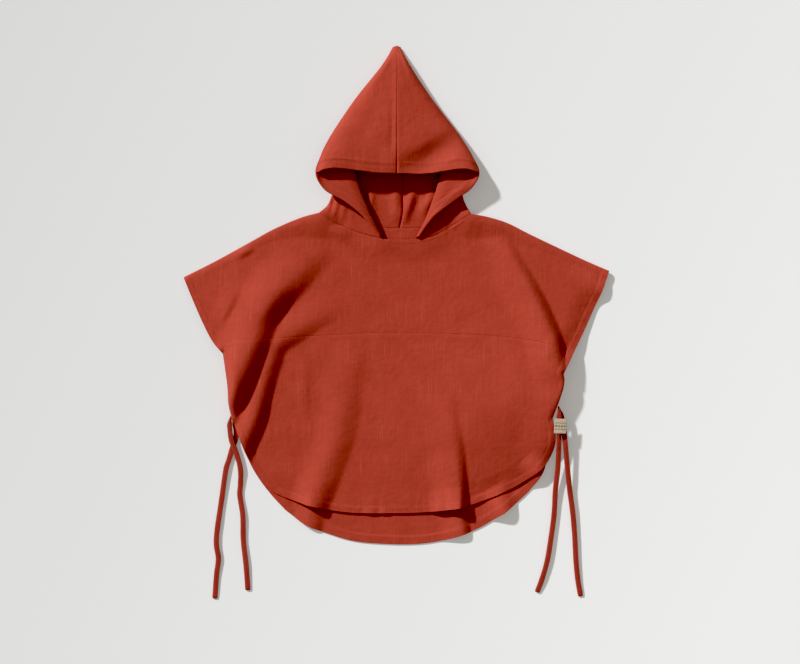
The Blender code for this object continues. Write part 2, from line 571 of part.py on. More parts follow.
def lower_waypoints(row, hand):
    """Waypoints of a section from the side fold to the centre back seam, along the outer side."""
    side = np.array(row.side, float)
    roll = np.array(row.roll, float)
    back = np.array([row.back[0] + hand * SEAM_GAP / 2, row.back[1], 0.0])
    tuck_height = TUCK_SHARE * roll[2]
    tuck = np.array([*row.tuck, tuck_height / 2])
    roll_depth = np.array([0, 0, ROLL_SHARE * roll[2]])
    reach = min(FOLD_REACH, 0.3 * abs(side[0] - back[0]), 0.3 * np.hypot(*(side - roll)[:2]))
    below = toward(side, roll, reach) - [0, 0, row.part / 2]
    lapel_reach = min(ROLL_REACH, 0.45 * np.hypot(*(side - roll)[:2]))
    under_reach = min(ROLL_REACH, 0.4 * np.hypot(*(tuck - roll)[:2]))
    roll_in = toward(roll, side, lapel_reach)
    turned = [
        side,
        below,
        (below + roll_in) / 2,
        roll_in,
        roll - roll_depth / 2,
        toward(roll, tuck, under_reach) - roll_depth,
        toward(tuck, roll, under_reach) + [0, 0, tuck_height / 2],
        tuck,
        toward(tuck, back, ROLL_REACH) - [0, 0, tuck_height / 2],
        (2 * toward(tuck, back, ROLL_REACH) + back) / 3 * [1, 1, 0],
        back,
    ]
    flat = [side, below]
    for step in range(1, 9):
        share = step / 9
        point = below + (back - below) * share
        point[2] = below[2] * (1 - ease(share * 1.25))
        flat.append(point)
    flat.append(back)
    return (1 - row.turn) * np.array(flat) + row.turn * np.array(turned)


def lid_waypoints(row, hand):
    """Waypoints of a section from the centre front seam or the face edge to the side fold."""
    front = np.array(row.front, float) + [hand * SEAM_GAP / 2, 0, 0]
    side = np.array(row.side, float)
    reach = min(FOLD_REACH, 0.3 * abs(side[0] - front[0]))
    above = toward(side, front, reach) + [0, 0, row.part / 2]
    middle = (front + above) / 2 + [0, 0, LID_DOME * (front[2] - above[2])]
    return np.array([front, middle, above, side])


def droop(lid):
    """How far the points of the lid move up or down the plan with the edge round the face."""
    x, up = np.array(FACE_EDGE, float).T
    share = ease((FACE_REACH[0] - lid[..., 1]) / (FACE_REACH[0] - FACE_REACH[1]))
    return share * np.interp(lid[..., 0], x, up)


def through(net, steps, axis):
    """A net of points made finer along one axis, on smooth curves through the given ones."""
    net = np.moveaxis(net, axis, 0)
    padded = np.concatenate([[2 * net[0] - net[1]], net, [2 * net[-1] - net[-2]]])
    runs = []
    for before, start, end, after, count in zip(padded, padded[1:], padded[2:], padded[3:], steps):
        t = np.linspace(0, 1, count, endpoint=False).reshape((-1,) + (1,) * start.ndim)
        near, far = np.linalg.norm(end - start, axis=-1, keepdims=True), 1e-6
        before_length = np.linalg.norm(start - before, axis=-1, keepdims=True) + far
        after_length = np.linalg.norm(after - end, axis=-1, keepdims=True) + far
        near = near + far
        leave = near * ((start - before) / before_length + (end - start) / near) / 2
        arrive = near * ((end - start) / near + (after - end) / after_length) / 2
        runs.append(
            (2 * t**3 - 3 * t**2 + 1) * start
            + (t**3 - 2 * t**2 + t) * leave
            + (3 * t**2 - 2 * t**3) * end
            + (t**3 - t**2) * arrive
        )
    return np.moveaxis(np.concatenate(runs + [net[-1:]]), 0, axis)


def corner_normals(points, faces):
    """Unit normals of a mesh's points."""
    normals = np.zeros_like(points)
    for face in faces:
        a, b, c, d = (points[index] for index in face)
        across = np.cross(c - a, d - b)
        for index in face:
            normals[index] += across
    return normals / np.maximum(np.linalg.norm(normals, axis=1, keepdims=True), 1e-9)


def build_hood(name, lid_rows, lapel_rows, hand):
    """Half a hood: a lid over the face, folded under at the side, and a lapel below the corner."""
    lid = np.array([lid_waypoints(row, hand) for row in lid_rows])
    lid = through(through(lid, LID_ROWS, 0), LID_STEPS, 1)
    lower = np.array([lower_waypoints(row, hand) for row in lid_rows + lapel_rows])
    lower = through(through(lower, LID_ROWS + LAPEL_ROWS, 0), LOWER_STEPS, 1)
    lid[..., 2] += folded(HOOD_LID_FOLDS, lid[..., 0], lid[..., 1])
    lid[..., 1] += droop(lid)

    roll_column = sum(LOWER_STEPS[:4])
    tuck_column = sum(LOWER_STEPS[:7])
    floor_column = sum(LOWER_STEPS[:8])
    floor = lower[:, floor_column:]
    floor[..., 2] += folded(HOOD_BACK_FOLDS, floor[..., 0], floor[..., 1])

    # The last row follows the neck seam, and the rows above it bend to meet it.
    neck = plan_of(FRONT_NECK) if hand < 0 else plan_of(FRONT_NECK)[::-1]
    nape = plan_of(BACK_NECK) if hand < 0 else plan_of(BACK_NECK)[::-1]
    corner = neck[0]
    start = share_of(neck, lapel_rows[-1].roll[:2])
    centre = share_of(nape, lapel_rows[-1].back)
    last = lower[-1].copy()
    columns = np.arange(len(last))
    collar = at_share(neck, neck_shares(neck, start, 0, COLLAR_STEPS))
    behind = at_share(nape, neck_shares(nape, 0, centre, NAPE_STEPS))
    last[roll_column:tuck_column + 1, :2] = collar
    last[tuck_column:, :2] = behind
    x, y = last[:, 0], last[:, 1]
    in_front = (columns >= roll_column) & (columns <= tuck_column)
    behind_heights = np.where(columns > tuck_column, back_under(x, y), last[:, 2])
    last[:, 2] = np.where(in_front, front_top(x, y), behind_heights)
    last[roll_column:, 1] += NECK_SEAM_GAP
    last[-1, 0] += hand * SEAM_GAP / 2
    rows = len(lower)
    first_bent = rows - 1 - int(NECK_REACH * sum(LAPEL_ROWS))
    bend = ease(np.clip((np.arange(rows) - first_bent) / (rows - 1 - first_bent), 0, 1))[:, None, None]
    lower = lower + bend * (last - lower[-1])
    lower[..., 2] = np.maximum(lower[..., 2], 0)

    lid_columns = lid.shape[1] - 1
    lid_count = len(lid)
    wide = lid_columns + lower.shape[1]
    points = np.vstack([np.hstack([lid[:, :-1], lower[:lid_count]]).reshape(-1, 3),
                        lower[lid_count:].reshape(-1, 3)])

    def index(row, column):
        """Place in the list of points of a row and a column, counted from the centre front."""
        if row < lid_count:
            return row * wide + column
        return lid_count * wide + (row - lid_count) * (wide - lid_columns) + column - lid_columns

    faces = []
    for row in range(rows - 1):
        first = 0 if row < lid_count - 1 else lid_columns
        for column in range(first, wide - 1):
            face = (index(row, column), index(row + 1, column), index(row + 1, column + 1),
                    index(row, column + 1))
            faces.append(face[::-1] if hand < 0 else face)
    normals = corner_normals(points, faces)
    neck_columns = range(lid_columns + roll_column, lid_columns + len(last))
    neck_row = np.array([index(rows - 1, column) for column in neck_columns])
    x, y = points[neck_row, 0], points[neck_row, 1] - NECK_SEAM_GAP
    front_count = tuck_column - roll_column + 1
    normals[neck_row[:front_count]] = slope_normals(front_top, x, y, 1)[:front_count]
    normals[neck_row[front_count:]] = -slope_normals(back_under, x, y, -1)[front_count:]
    depth = np.full((len(points), 1), WALL)
    depth[:wide] = TIP_WALL
    return closed_shell(name, points, points - depth * normals, faces, CLOTH_COLOUR)


# ---------------------------------------------------------------- ties and label
def build_tie(name, route):
    """A narrow flat strap that follows its route, as a closed six-sided sweep."""
    line = smooth(route, 12)
    length = np.linalg.norm(np.diff(line, axis=0), axis=1).sum()
    spine = at_share(line, np.linspace(0, 1, round(length / TIE_STEP) + 1))
    ahead = np.gradient(spine, axis=0)
    across = np.stack([ahead[:, 1], -ahead[:, 0], np.zeros(len(spine))], axis=-1)
    across /= np.linalg.norm(across, axis=1, keepdims=True)
    up = np.cross(across, ahead)
    up /= np.linalg.norm(up, axis=1, keepdims=True)
    half, rise, shoulder = TIE_WIDTH / 2, TIE_THICK / 2, TIE_WIDTH / 2 - 1.0
    section = [(-half, 0), (-shoulder, rise), (shoulder, rise), (half, 0), (shoulder, -rise),
               (-shoulder, -rise)]
    points = np.concatenate([[middle + a * across[k] + b * up[k] for a, b in section]
                             for k, middle in enumerate(spine)])
    sides = len(section)
    faces = [tuple(range(sides))[::-1], tuple((len(spine) - 1) * sides + k for k in range(sides))]
    for ring in range(len(spine) - 1):
        for k in range(sides):
            here, after = ring * sides + k, ring * sides + (k + 1) % sides
            faces.append((here, after, after + sides, here + sides))
    mesh = bpy.data.meshes.new(name)
    mesh.from_pydata((points * MM).tolist(), [], faces)
    mesh.materials.append(material(name, CLOTH_COLOUR, 0.9))
    mesh.validate()
    made = bpy.data.objects.new(name, mesh)
    bpy.context.scene.collection.objects.link(made)
    return made


def build_label():
    """A small woven label that slopes down from the skirt over the ties."""
    across = np.linspace(-0.5, 0.5, 5)
    down = np.linspace(0.5, -0.5, 5)
    u, v = np.meshgrid(across, down)
    turn = np.array([[np.cos(LABEL_TURN), -np.sin(LABEL_TURN)], [np.sin(LABEL_TURN), np.cos(LABEL_TURN)]])
    plan = np.stack([u * LABEL_SIZE[0], v * LABEL_SIZE[1]], axis=-1) @ turn.T + LABEL_CENTRE[:2]
    height = LABEL_CENTRE[2] - LABEL_DROP * u
    upper = np.concatenate([plan, height[..., None]], axis=-1).reshape(-1, 3)
    return closed_shell("label", upper, upper - [0, 0, LABEL_THICK], grid_faces(5, 5), LABEL_COLOUR)


def main():
    for old in list(bpy.data.objects):
        bpy.data.objects.remove(old, do_unlink=True)
    build_back()
    build_front()
    build_hood("hood_left", LID_LEFT, LAPEL_LEFT, -1)
    build_hood("hood_right", LID_RIGHT, LAPEL_RIGHT, 1)
    for name, route in TIE_ROUTES.items():
        build_tie(name, route)
    build_label()


main()
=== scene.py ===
# %% [markdown]
# # A toddler's hooded bath poncho
# The real poncho is cut from soft double gauze: a back panel, a yoke and a skirt for the front,
# two half hoods, four flat ties and one small woven label.  It lies face up on a pale surface.
# This lesson dresses its plain solids: every panel is made again on a fine grid with its hems,
# creases and stitches, and gets a woven material.  The frame is loaded first, because it says
# where everything lies.

# %% Load the frame
import math
from collections import namedtuple

import bpy
import numpy as np
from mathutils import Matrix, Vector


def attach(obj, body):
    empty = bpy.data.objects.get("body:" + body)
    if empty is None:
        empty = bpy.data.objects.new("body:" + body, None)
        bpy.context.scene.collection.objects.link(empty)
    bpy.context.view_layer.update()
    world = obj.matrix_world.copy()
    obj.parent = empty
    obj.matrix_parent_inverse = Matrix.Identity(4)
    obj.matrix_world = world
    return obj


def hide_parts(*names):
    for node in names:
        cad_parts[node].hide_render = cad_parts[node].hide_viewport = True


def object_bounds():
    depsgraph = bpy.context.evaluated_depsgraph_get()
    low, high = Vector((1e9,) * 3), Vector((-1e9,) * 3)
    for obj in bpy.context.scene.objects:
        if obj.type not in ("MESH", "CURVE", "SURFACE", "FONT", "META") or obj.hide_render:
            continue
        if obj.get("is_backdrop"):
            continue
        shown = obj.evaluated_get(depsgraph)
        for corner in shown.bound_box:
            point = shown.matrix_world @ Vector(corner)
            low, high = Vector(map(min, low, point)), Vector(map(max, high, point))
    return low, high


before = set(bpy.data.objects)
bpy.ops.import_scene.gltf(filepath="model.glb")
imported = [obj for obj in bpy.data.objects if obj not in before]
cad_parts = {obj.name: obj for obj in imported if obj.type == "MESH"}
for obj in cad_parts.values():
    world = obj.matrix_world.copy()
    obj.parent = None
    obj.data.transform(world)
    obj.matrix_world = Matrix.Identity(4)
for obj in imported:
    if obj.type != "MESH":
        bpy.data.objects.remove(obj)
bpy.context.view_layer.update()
MM = 0.001

# %% [markdown]
# ## Camera and light
# The poncho is seen from straight above through a long lens, which keeps its outline nearly free
# of perspective.  One sun from the upper left draws the folds; it is small, so cast shadows have
# an edge only a little soft.  The sky is weak and warm, and dark at its rim, so it fills the shadows
# without brightening the inside of the hood.

# %% Camera
CAMERA_PLACE = (0.006, -0.0555, 2.833)  # in metres, above the middle of the poncho
CAMERA_LENS = 85.0
CAMERA_SENSOR = 36.0

camera_data = bpy.data.cameras.new("camera above")
camera_data.lens = CAMERA_LENS
camera_data.sensor_width = CAMERA_SENSOR
camera = bpy.data.objects.new("camera above", camera_data)
camera.location = CAMERA_PLACE
bpy.context.scene.collection.objects.link(camera)
bpy.context.scene.camera = camera
print("camera", round(camera.location.z, 3), "m above the surface")

# %% Sun
SUN_HEADING = (0.72, -0.69)  # the way the light travels, seen from above
SUN_ELEVATION = 32.0
SUN_STRENGTH = 4.15
SUN_COLOUR = (0.96, 0.975, 1.0)
SUN_ANGLE = 4.0  # its width in degrees, which softens the edges of its shadows


def hang_sun():
    """A distant lamp that shines along its plan heading, at its elevation above the surface."""
    lamp = bpy.data.lights.new("sun", "SUN")
    lamp.energy = SUN_STRENGTH
    lamp.color = SUN_COLOUR
    lamp.angle = math.radians(SUN_ANGLE)
    made = bpy.data.objects.new("sun", lamp)
    turn = math.atan2(SUN_HEADING[1], SUN_HEADING[0])
    made.rotation_euler = (0, math.radians(90 - SUN_ELEVATION), turn + math.pi)
    bpy.context.scene.collection.objects.link(made)


hang_sun()
print("sun from", [-value for value in SUN_HEADING], "at", SUN_ELEVATION, "degrees")

# %% Sky and picture
SKY_COLOUR = (1.0, 0.965, 0.86, 1.0)
SKY_AT_HORIZON = 0.06
SKY_OVERHEAD = 0.50
DARKEST = 0.035  # the value that is shown as black


def make_sky():
    """A warm sky whose strength grows from its rim to the point overhead."""
    made = bpy.data.worlds.new("warm sky")
    made.use_nodes = True
    tree = made.node_tree
    background = tree.nodes["Background"]
    background.inputs["Color"].default_value = SKY_COLOUR
    direction = tree.nodes.new("ShaderNodeTexCoord").outputs["Generated"]
    parts = tree.nodes.new("ShaderNodeSeparateXYZ")
    tree.links.new(direction, parts.inputs[0])
    ramp = tree.nodes.new("ShaderNodeMapRange")
    tree.links.new(parts.outputs["Z"], ramp.inputs["Value"])
    ramp.inputs["From Min"].default_value = 0.0
    ramp.inputs["To Min"].default_value = SKY_AT_HORIZON
    ramp.inputs["To Max"].default_value = SKY_OVERHEAD
    tree.links.new(ramp.outputs["Result"], background.inputs["Strength"])
    return made


bpy.context.scene.world = make_sky()
view = bpy.context.scene.view_settings
view.view_transform = "Standard"
view.look = "None"
view.use_curve_mapping = True
view.curve_mapping.black_level = (DARKEST, DARKEST, DARKEST)
view.curve_mapping.update()
print("sky from", SKY_AT_HORIZON, "at its rim to", SKY_OVERHEAD, "overhead")

# %% [markdown]
# ## Sizes of the cloth
# Gauze is thin, so its edges say most about how it's made.  A hem is turned twice and stitched
# down, which leaves three layers and a slight step.  Two sewn pieces meet along a hair-thin line,
# and each keeps its own wall there.

# %% Cloth and seam sizes, in millimetres
WALL = 1.0  # two plies of gauze
HEM_EXTRA = 0.9  # more thickness where the hem is turned up
SEAM_GAP = 0.3  # between the front and the back along their shoulder and side seams
CHEST_GAP = 0.03  # the chest seam is pressed flat, so it shows as hardly more than a line
NECK_SEAM_GAP = 0.05
CROWN_GAP = 0.06  # between the two halves of the hood
AIR = 2.6  # between the back and the front where nothing lifts the front
SOLID_WALL = 1.2  # of the plain solids, whose outer sides these panels keep
LEAST_CROWN = 3.0  # how much higher than a sewn edge the front is kept beside it
CROWN_REACH = 75.0  # the distance over which that fades
HEM_SETBACK = 1.5  # of the back's sleeve hems from those of the front, which cover them
HEM_WIDTH = 12.0
HEM_TAPER = 6.0  # a hem grows thick over this distance from a sewn edge
ON_HEM = 0.3  # a point this near a free edge is on it
STITCH_INSET = 10.6
NECK_STITCH_INSET = 4.5

# %% [markdown]
# ## Plan of the garment
# These are the corner points and edge lines of the panels as they lie, seen from above.

# %% Corner points and edge lines
NECK_LEFT = (-115.0, 123.0)
NECK_RIGHT = (112.0, 121.5)
TIP_LEFT = (-318.0, 26.5)
TIP_RIGHT = (319.0, 36.0)
UNDERARM_LEFT = (-259.0, -87.5)
UNDERARM_RIGHT = (249.5, -117.0)
TIE_LEFT = (-247.0, -180.0)
TIE_RIGHT = (233.0, -184.5)
FRONT_LOW_LEFT = (-134.0, -314.0)
FRONT_LOW_RIGHT = (151.0, -300.0)
BACK_LOW_LEFT = (-165.5, -322.5)
BACK_LOW_RIGHT = (162.0, -327.0)

FRONT_NECK = [NECK_LEFT, (-99.0, 112.5), (-79.5, 103.0), (-58.5, 94.5), (-36.0, 88.0), (-13.0, 83.5),
              (9.0, 82.5), (31.0, 83.5), (53.0, 88.0), (71.0, 96.0), (89.5, 108.0), NECK_RIGHT]
BACK_NECK = [NECK_LEFT, (-70.0, 108.0), (-20.0, 101.5), (6.0, 101.0), (42.0, 102.0), (80.0, 108.5),
             NECK_RIGHT]
SLEEVE_LEFT = [TIP_LEFT, (-306.0, -3.0), (-289.5, -40.5), (-274.5, -69.0), UNDERARM_LEFT]
SLEEVE_RIGHT = [TIP_RIGHT, (309.0, 7.5), (295.5, -22.5), (282.0, -52.5), (267.0, -83.0),
                UNDERARM_RIGHT]
CHEST_SEAM = [UNDERARM_LEFT, (-249.5, -69.5), (-208.5, -66.8), (-100.0, -60.0), (0.0, -56.3),
              (143.0, -60.8), (218.0, -71.0), (237.0, -81.0), UNDERARM_RIGHT]
BACK_SLEEVE_LEFT = [TIP_LEFT, *[(x + HEM_SETBACK, y) for x, y in SLEEVE_LEFT[1:-1]], UNDERARM_LEFT]
BACK_SLEEVE_RIGHT = [TIP_RIGHT, *[(x - HEM_SETBACK, y) for x, y in SLEEVE_RIGHT[1:-1]], UNDERARM_RIGHT]
FRONT_HEM_LEFT = [TIE_LEFT, (-238.0, -203.0), (-225.0, -235.5), (-209.0, -265.5), (-189.0, -291.0),
                  (-169.5, -302.0), FRONT_LOW_LEFT]
FRONT_HEM = [FRONT_LOW_LEFT, (-87.0, -324.0), (-42.0, -327.0), (34.5, -326.0), (82.0, -320.5),
             (112.0, -314.5), FRONT_LOW_RIGHT]
FRONT_HEM_RIGHT = [TIE_RIGHT, (238.0, -208.0), (235.5, -231.0), (220.0, -258.0), (185.0, -283.5),
                   FRONT_LOW_RIGHT]
BACK_HEM_LEFT = [TIE_LEFT, (-239.5, -203.0), (-226.0, -236.5), (-210.0, -268.0), (-188.5, -297.5),
                 BACK_LOW_LEFT]
BACK_HEM = [BACK_LOW_LEFT, (-133.5, -345.5), (-103.5, -357.0), (-64.5, -368.5), (-18.5, -373.0),
            (34.5, -373.0), (82.0, -365.0), (123.0, -350.0), BACK_LOW_RIGHT]
BACK_HEM_RIGHT = [TIE_RIGHT, (232.0, -215.0), (225.5, -247.0), (217.5, -270.0), (196.5, -297.0),
                  BACK_LOW_RIGHT]
print("plan", TIP_RIGHT[0] - TIP_LEFT[0], "mm over the sleeves")

# %% [markdown]
# ## Heights of the garment
# A seam row holds a plan point, the height of the sewn edge there, and how far in the front and
# the back keep rounding.  A fold row holds the width of the slope on the upper left side of its
# crest, that of the other, steeper slope, and the crest itself as (x, y, height) points.  A crest
# with heights below zero makes a dent.

# %% Seams and folds
Seam = namedtuple("Seam", "x y height front_round back_round")
SHOULDER_LEFT = [
    Seam(*TIP_LEFT, 3, 8, 6),
    Seam(-268.5, 51.5, 3.5, 10, 7),
    Seam(-217.5, 79.5, 4.5, 12, 8),
    Seam(-184, 98, 5, 12, 8),
    Seam(-144, 115, 7, 14, 9),
    Seam(*NECK_LEFT, 9, 14, 10),
]
SHOULDER_RIGHT = [
    Seam(*NECK_RIGHT, 9, 14, 10),
    Seam(140, 116, 7, 14, 9),
    Seam(168, 107, 6, 12, 8),
    Seam(204, 89, 5, 12, 8),
    Seam(279, 53.5, 4.5, 9, 7),
    Seam(*TIP_RIGHT, 6, 7, 6),
]
SIDE_LEFT = [
    Seam(*UNDERARM_LEFT, 8, 14, 14),
    Seam(-252, -135, 12, 20, 18),
    Seam(-250.5, -162, 11, 19, 16),
    Seam(*TIE_LEFT, 8, 18, 14),
]
SIDE_RIGHT = [
    Seam(*UNDERARM_RIGHT, 24, 6, 24),
    Seam(250.5, -129, 26, 5, 28),
    Seam(248, -142.5, 26, 6, 28),
    Seam(240.6, -165, 23, 10, 28),
    Seam(*TIE_RIGHT, 21, 16, 28),
]

Fold = namedtuple("Fold", "name lit dark crest")
FRONT_FOLDS = [
    Fold("left drape", 54, 31, [(-104, 80, 0), (-134, 52, 3), (-158, 24, 6.5), (-189, -9, 11.5),
                                (-205, -37, 12), (-213, -60, 13.5), (-222, -82, 15.5),
                                (-231, -105, 18), (-241, -129, 20), (-253, -153, 20),
                                (-268, -185, 14)]),
    Fold("left shoulder", 150, 30, [(-104, 80, 0), (-134, 52, 2), (-158, 24, 4), (-189, -9, 7),
                                    (-214, -60, 7.5), (-231, -105, 9), (-252, -153, 10), (-268, -185, 8)]),
    Fold("left second", 40, 21, [(-72, -4, 0), (-108, -26, 2.6), (-138, -45, 4.6), (-179, -73, 8),
                                 (-190, -100, 9), (-204, -147, 12), (-210, -174, 13),
                                 (-219, -198, 13), (-228, -220, 12.5), (-234, -243, 10),
                                 (-236, -265, 5)]),
    Fold("left flute", 38, 29, [(-66, -60, 0), (-69, -105, 2.2), (-78, -130, 3.4), (-80, -153, 4),
                                (-81, -178, 4.5), (-86, -202, 5), (-93, -226, 5.5), (-101, -247, 6.2),
                                (-110, -274, 7.5), (-118, -292, 9), (-124, -308, 10), (-129, -332, 11)]),
    Fold("faint streak", 14, 12, [(-136, -90, 0), (-138, -115, 0.8), (-138, -165, 0.9), (-136, -195, 0)]),
    Fold("right flute", 46, 16, [(76, -130, 0), (78, -178, 2.2), (81, -199, 3.2), (88, -232, 5.2),
                                 (91, -262, 8), (93.5, -292, 10.5), (94, -325, 12)]),
    Fold("right swell", 300, 130, [(160, 110, 0), (185, 20, 4), (205, -50, 9), (226, -125, 17.5),
                                   (236, -160, 18), (248, -200, 12), (262, -250, 3), (276, -300, 0)]),
    Fold("right ridge", 46, 18, [(150, 98, 0), (170, 54, 6), (197, 9, 11), (219, -35, 14), (232, -67, 15),
                                 (241, -98, 12.5), (250, -128, 7), (251, -150, 5), (242, -170, 5),
                                 (234, -190, 5), (228, -215, 5), (214, -245, 3), (200, -268, 0)]),
    Fold("right hem rest", 34, 34, [(110, -316, 0), (151, -302, -2.4), (185, -285, -2.6), (220, -260, -2),
                                    (240, -225, 0)]),
    Fold("left hem rest", 26, 26, [(-225, -235, 0), (-189, -291, -1.4), (-150, -308, -1.6),
                                   (-134, -314, 0)]),
    Fold("middle hem rest", 20, 20, [(-87, -324, 0), (-42, -327, -0.6), (34, -326, -0.6), (70, -322, 0)]),
    Fold("hem wave 1", 14, 14, [(-38, -302, 0), (-38, -328, 1.8)]),
    Fold("hem wave 2", 12, 12, [(-19, -304, 0), (-19, -328, 1.5)]),
    Fold("hem wave 3", 14, 14, [(60, -292, 0), (62, -326, 4)]),
    Fold("neckline", 40, 12, [(-66, 98, 2), (-22, 86, 4), (9, 82, 3), (40, 85, 4), (78, 100, 2)]),
    Fold("neck right", 12, 18, [(80, 100, 0), (104, 110, 5), (126, 112, 4), (146, 106, 0)]),
    Fold("neck left", 16, 16, [(-128, 112, 0), (-108, 104, 3.5), (-86, 94, 3), (-66, 86, 0)]),
    Fold("sleeve crease", 24, 9, [(-236, 22, 0), (-245, -6, 2.4), (-257, -30, 2.4), (-268, -52, 0)]),
    Fold("shoulder crease", 16, 10, [(-212, 74, 0), (-226, 66, 3), (-244, 56, 0)]),
    Fold("right cuff high", 26, 24, [(262, 40, 0), (290, 22, 3), (322, 8, 4)]),
    Fold("right cuff low", 26, 22, [(246, -44, 0), (262, -66, 2), (280, -84, 2)]),
    Fold("right sleeve rest", 36, 30, [(306, 4, 0), (297, -20, -3.5), (284, -48, -4.5), (270, -76, -6),
                                       (258, -100, -4), (250, -117, 0)]),
]
BACK_FOLDS = [
    Fold("hem lift 1", 38, 14, [(93, -288, 0), (94, -322, 5.5), (97, -345, 8), (101, -368, 8.5)]),
    Fold("hem lift 2", 24, 24, [(142, -288, 0), (156, -314, 11), (166, -334, 15)]),
    Fold("hem lift 3", 26, 26, [(192, -244, 0), (210, -262, 9), (224, -278, 11)]),
    Fold("hem lift left", 30, 22, [(-119, -296, 0), (-127, -325, 4.5), (-132, -352, 6.5)]),
    Fold("right cuff", 24, 24, [(276, 22, 0), (312, 2, 3)]),
]
print(len(FRONT_FOLDS), "folds in front and", len(BACK_FOLDS), "behind")

# %% [markdown]
# ## Lines, distances and heights
# Everything below works on plan points.  A smooth line passes through the given ones, and the
# distance to it tells how far a point is from a seam, a hem or the crest of a fold.  The real
# folds fall by the cloth's own weight; here each one is drawn, so that it stays where it is seen.

# %% Lines


def unit(vectors):
    """The same vectors, each of length 1."""
    return vectors / np.linalg.norm(vectors, axis=-1, keepdims=True)


def cubic(t, start, end, leave, arrive):
    """Points at shares of a cubic curve, with its ways out of its start and into its end."""
    return (
        (2 * t**3 - 3 * t**2 + 1) * start
        + (t**3 - 2 * t**2 + t) * leave
        + (3 * t**2 - 2 * t**3) * end
        + (t**3 - t**2) * arrive
    )


def smooth(points, steps=12):
    """Points on a smooth curve through the given ones, which it passes in turn."""
    knots = np.array(points, float)
    padded = np.vstack([2 * knots[:1] - knots[1:2], knots, 2 * knots[-1:] - knots[-2:-1]])
    t = np.linspace(0, 1, steps, endpoint=False)[:, None]
    runs = []
    for before, start, end, after in zip(padded, padded[1:], padded[2:], padded[3:]):
        runs.append(cubic(t, start, end, (end - before) / 2, (after - start) / 2))
    return np.vstack(runs + [knots[-1:]])


def lengths_along(line):
    """Length from a line's start to each of its points."""
    return np.concatenate([[0], np.cumsum(np.linalg.norm(np.diff(line, axis=0), axis=1))])


def length_of(line):
    return np.linalg.norm(np.diff(line, axis=0), axis=1).sum()


def read_off(place, run, values):
    """Rows of values at the given places of a run, blended between the rows beside them."""
    return np.stack([np.interp(place, run, column) for column in values.T], axis=-1)


def at_share(line, share):
    """Points at the given shares of a line's length."""
    return read_off(share, lengths_along(line) / length_of(line), line)


def plan_of(line):
    return smooth(line)[:, :2]


def share_of(line, point):
    """The share of a line's length at which it passes a point."""
    shares = np.linspace(0, 1, 2001)
    away = np.linalg.norm(at_share(line, shares) - np.array(point), axis=1)
    return shares[np.argmin(away)]


def nearest(line, x, y):
    """Signed distance to a line's plan, and the line's other columns at its nearest point.

    The sign is positive on the upper left side of a line that runs down the garment.
    """
    best = np.full(x.shape, np.inf)
    side = np.zeros(x.shape)
    carried = np.zeros(x.shape + (line.shape[1] - 2,))
    for start, end in zip(line[:-1], line[1:]):
        run = end[:2] - start[:2]
        t = np.clip(((x - start[0]) * run[0] + (y - start[1]) * run[1]) / (run @ run), 0, 1)
        away = (x - start[0] - t * run[0], y - start[1] - t * run[1])
        far = np.hypot(*away)
        closer = far < best
        best = np.where(closer, far, best)
        side = np.where(closer, away[0] * run[1] - away[1] * run[0], side)
        here = start[2:] + t[..., None] * (end[2:] - start[2:])
        carried = np.where(closer[..., None], here, carried)
    return np.where(side >= 0, best, -best), carried


print("neckline", round(length_of(plan_of(FRONT_NECK)) + length_of(plan_of(BACK_NECK))), "mm round")

# %% Heights
SEWN = [
    (smooth(SHOULDER_LEFT), -1),
    (smooth(SHOULDER_RIGHT), -1),
    (smooth(SIDE_LEFT), 1),
    (smooth(SIDE_RIGHT), -1),
]
ON_OUTLINE = 0.4  # a point this near a sewn edge is on it


def ease(t):
    """0 to 1, level at both ends."""
    t = np.clip(t, 0, 1)
    return t * t * (3 - 2 * t)


def folded(folds, x, y):
    """Height that a table of folds adds at plan points."""
    total = np.zeros(x.shape)
    for fold in folds:
        far, carried = nearest(smooth(fold.crest, 6), x, y)
        share = np.clip(np.abs(far) / np.where(far >= 0, fold.lit, fold.dark), 0, 1)
        total += carried[..., 0] * np.where(far >= 0, ease(1 - share), (1 - share**2) ** 1.5)
    return total


def sewn_edge(x, y):
    """Distance out from the nearest sewn outer seam, and that seam's values there."""
    best = np.full(x.shape, np.inf)
    values = np.zeros(x.shape + (3,))
    for seam, outward in SEWN:
        far, carried = nearest(seam, x, y)
        closer = np.abs(far) < np.abs(best)
        best = np.where(closer, outward * far, best)
        values = np.where(closer[..., None], carried, values)
    return best, values[..., 0], values[..., 1], values[..., 2]


def rounding(out, radius):
    """0 at a rounded edge, 1 from a radius away."""
    inside = 1 - np.clip(np.abs(out) / radius, 0, 1)
    return np.sqrt(np.clip(1 - inside * inside, 0, 1))


def held_up(x, y):
    """Height at which the sewn edges hold the front up, highest next to them."""
    held = np.zeros(x.shape)
    for seam, _ in SEWN:
        far, carried = nearest(seam, x, y)
        held = np.maximum(held, (carried[..., 0] + LEAST_CROWN) * ease(1 - np.abs(far) / CROWN_REACH))
    return held


def back_under(x, y):
    """Height of the back panel's underside."""
    out, height, _, radius = sewn_edge(x, y)
    rise = 1 - rounding(out, radius)
    return (height - SEAM_GAP / 2) * rise + (1 - rise) * folded(BACK_FOLDS, x, y)


def front_top(x, y):
    """Height of the front's outer side, without its small creases and hems."""
    out, height, radius, _ = sewn_edge(x, y)
    free = folded(BACK_FOLDS, x, y) + 2 * SOLID_WALL + AIR + folded(FRONT_FOLDS, x, y)
    low = height + SEAM_GAP / 2
    return low + (np.maximum(free, held_up(x, y)) - low) * rounding(out, radius)


# %% [markdown]
# ## Small relief
# Double gauze is never quite flat: its two plies are tacked together here and there and shrink
# a little, which leaves a soft crinkle.  A table of random numbers on a lattice, blended
# smoothly, gives that.  A hem pulls its stitch line in and puckers beside it.

# %% Crinkle
LATTICE = 256  # random values along each side of the table


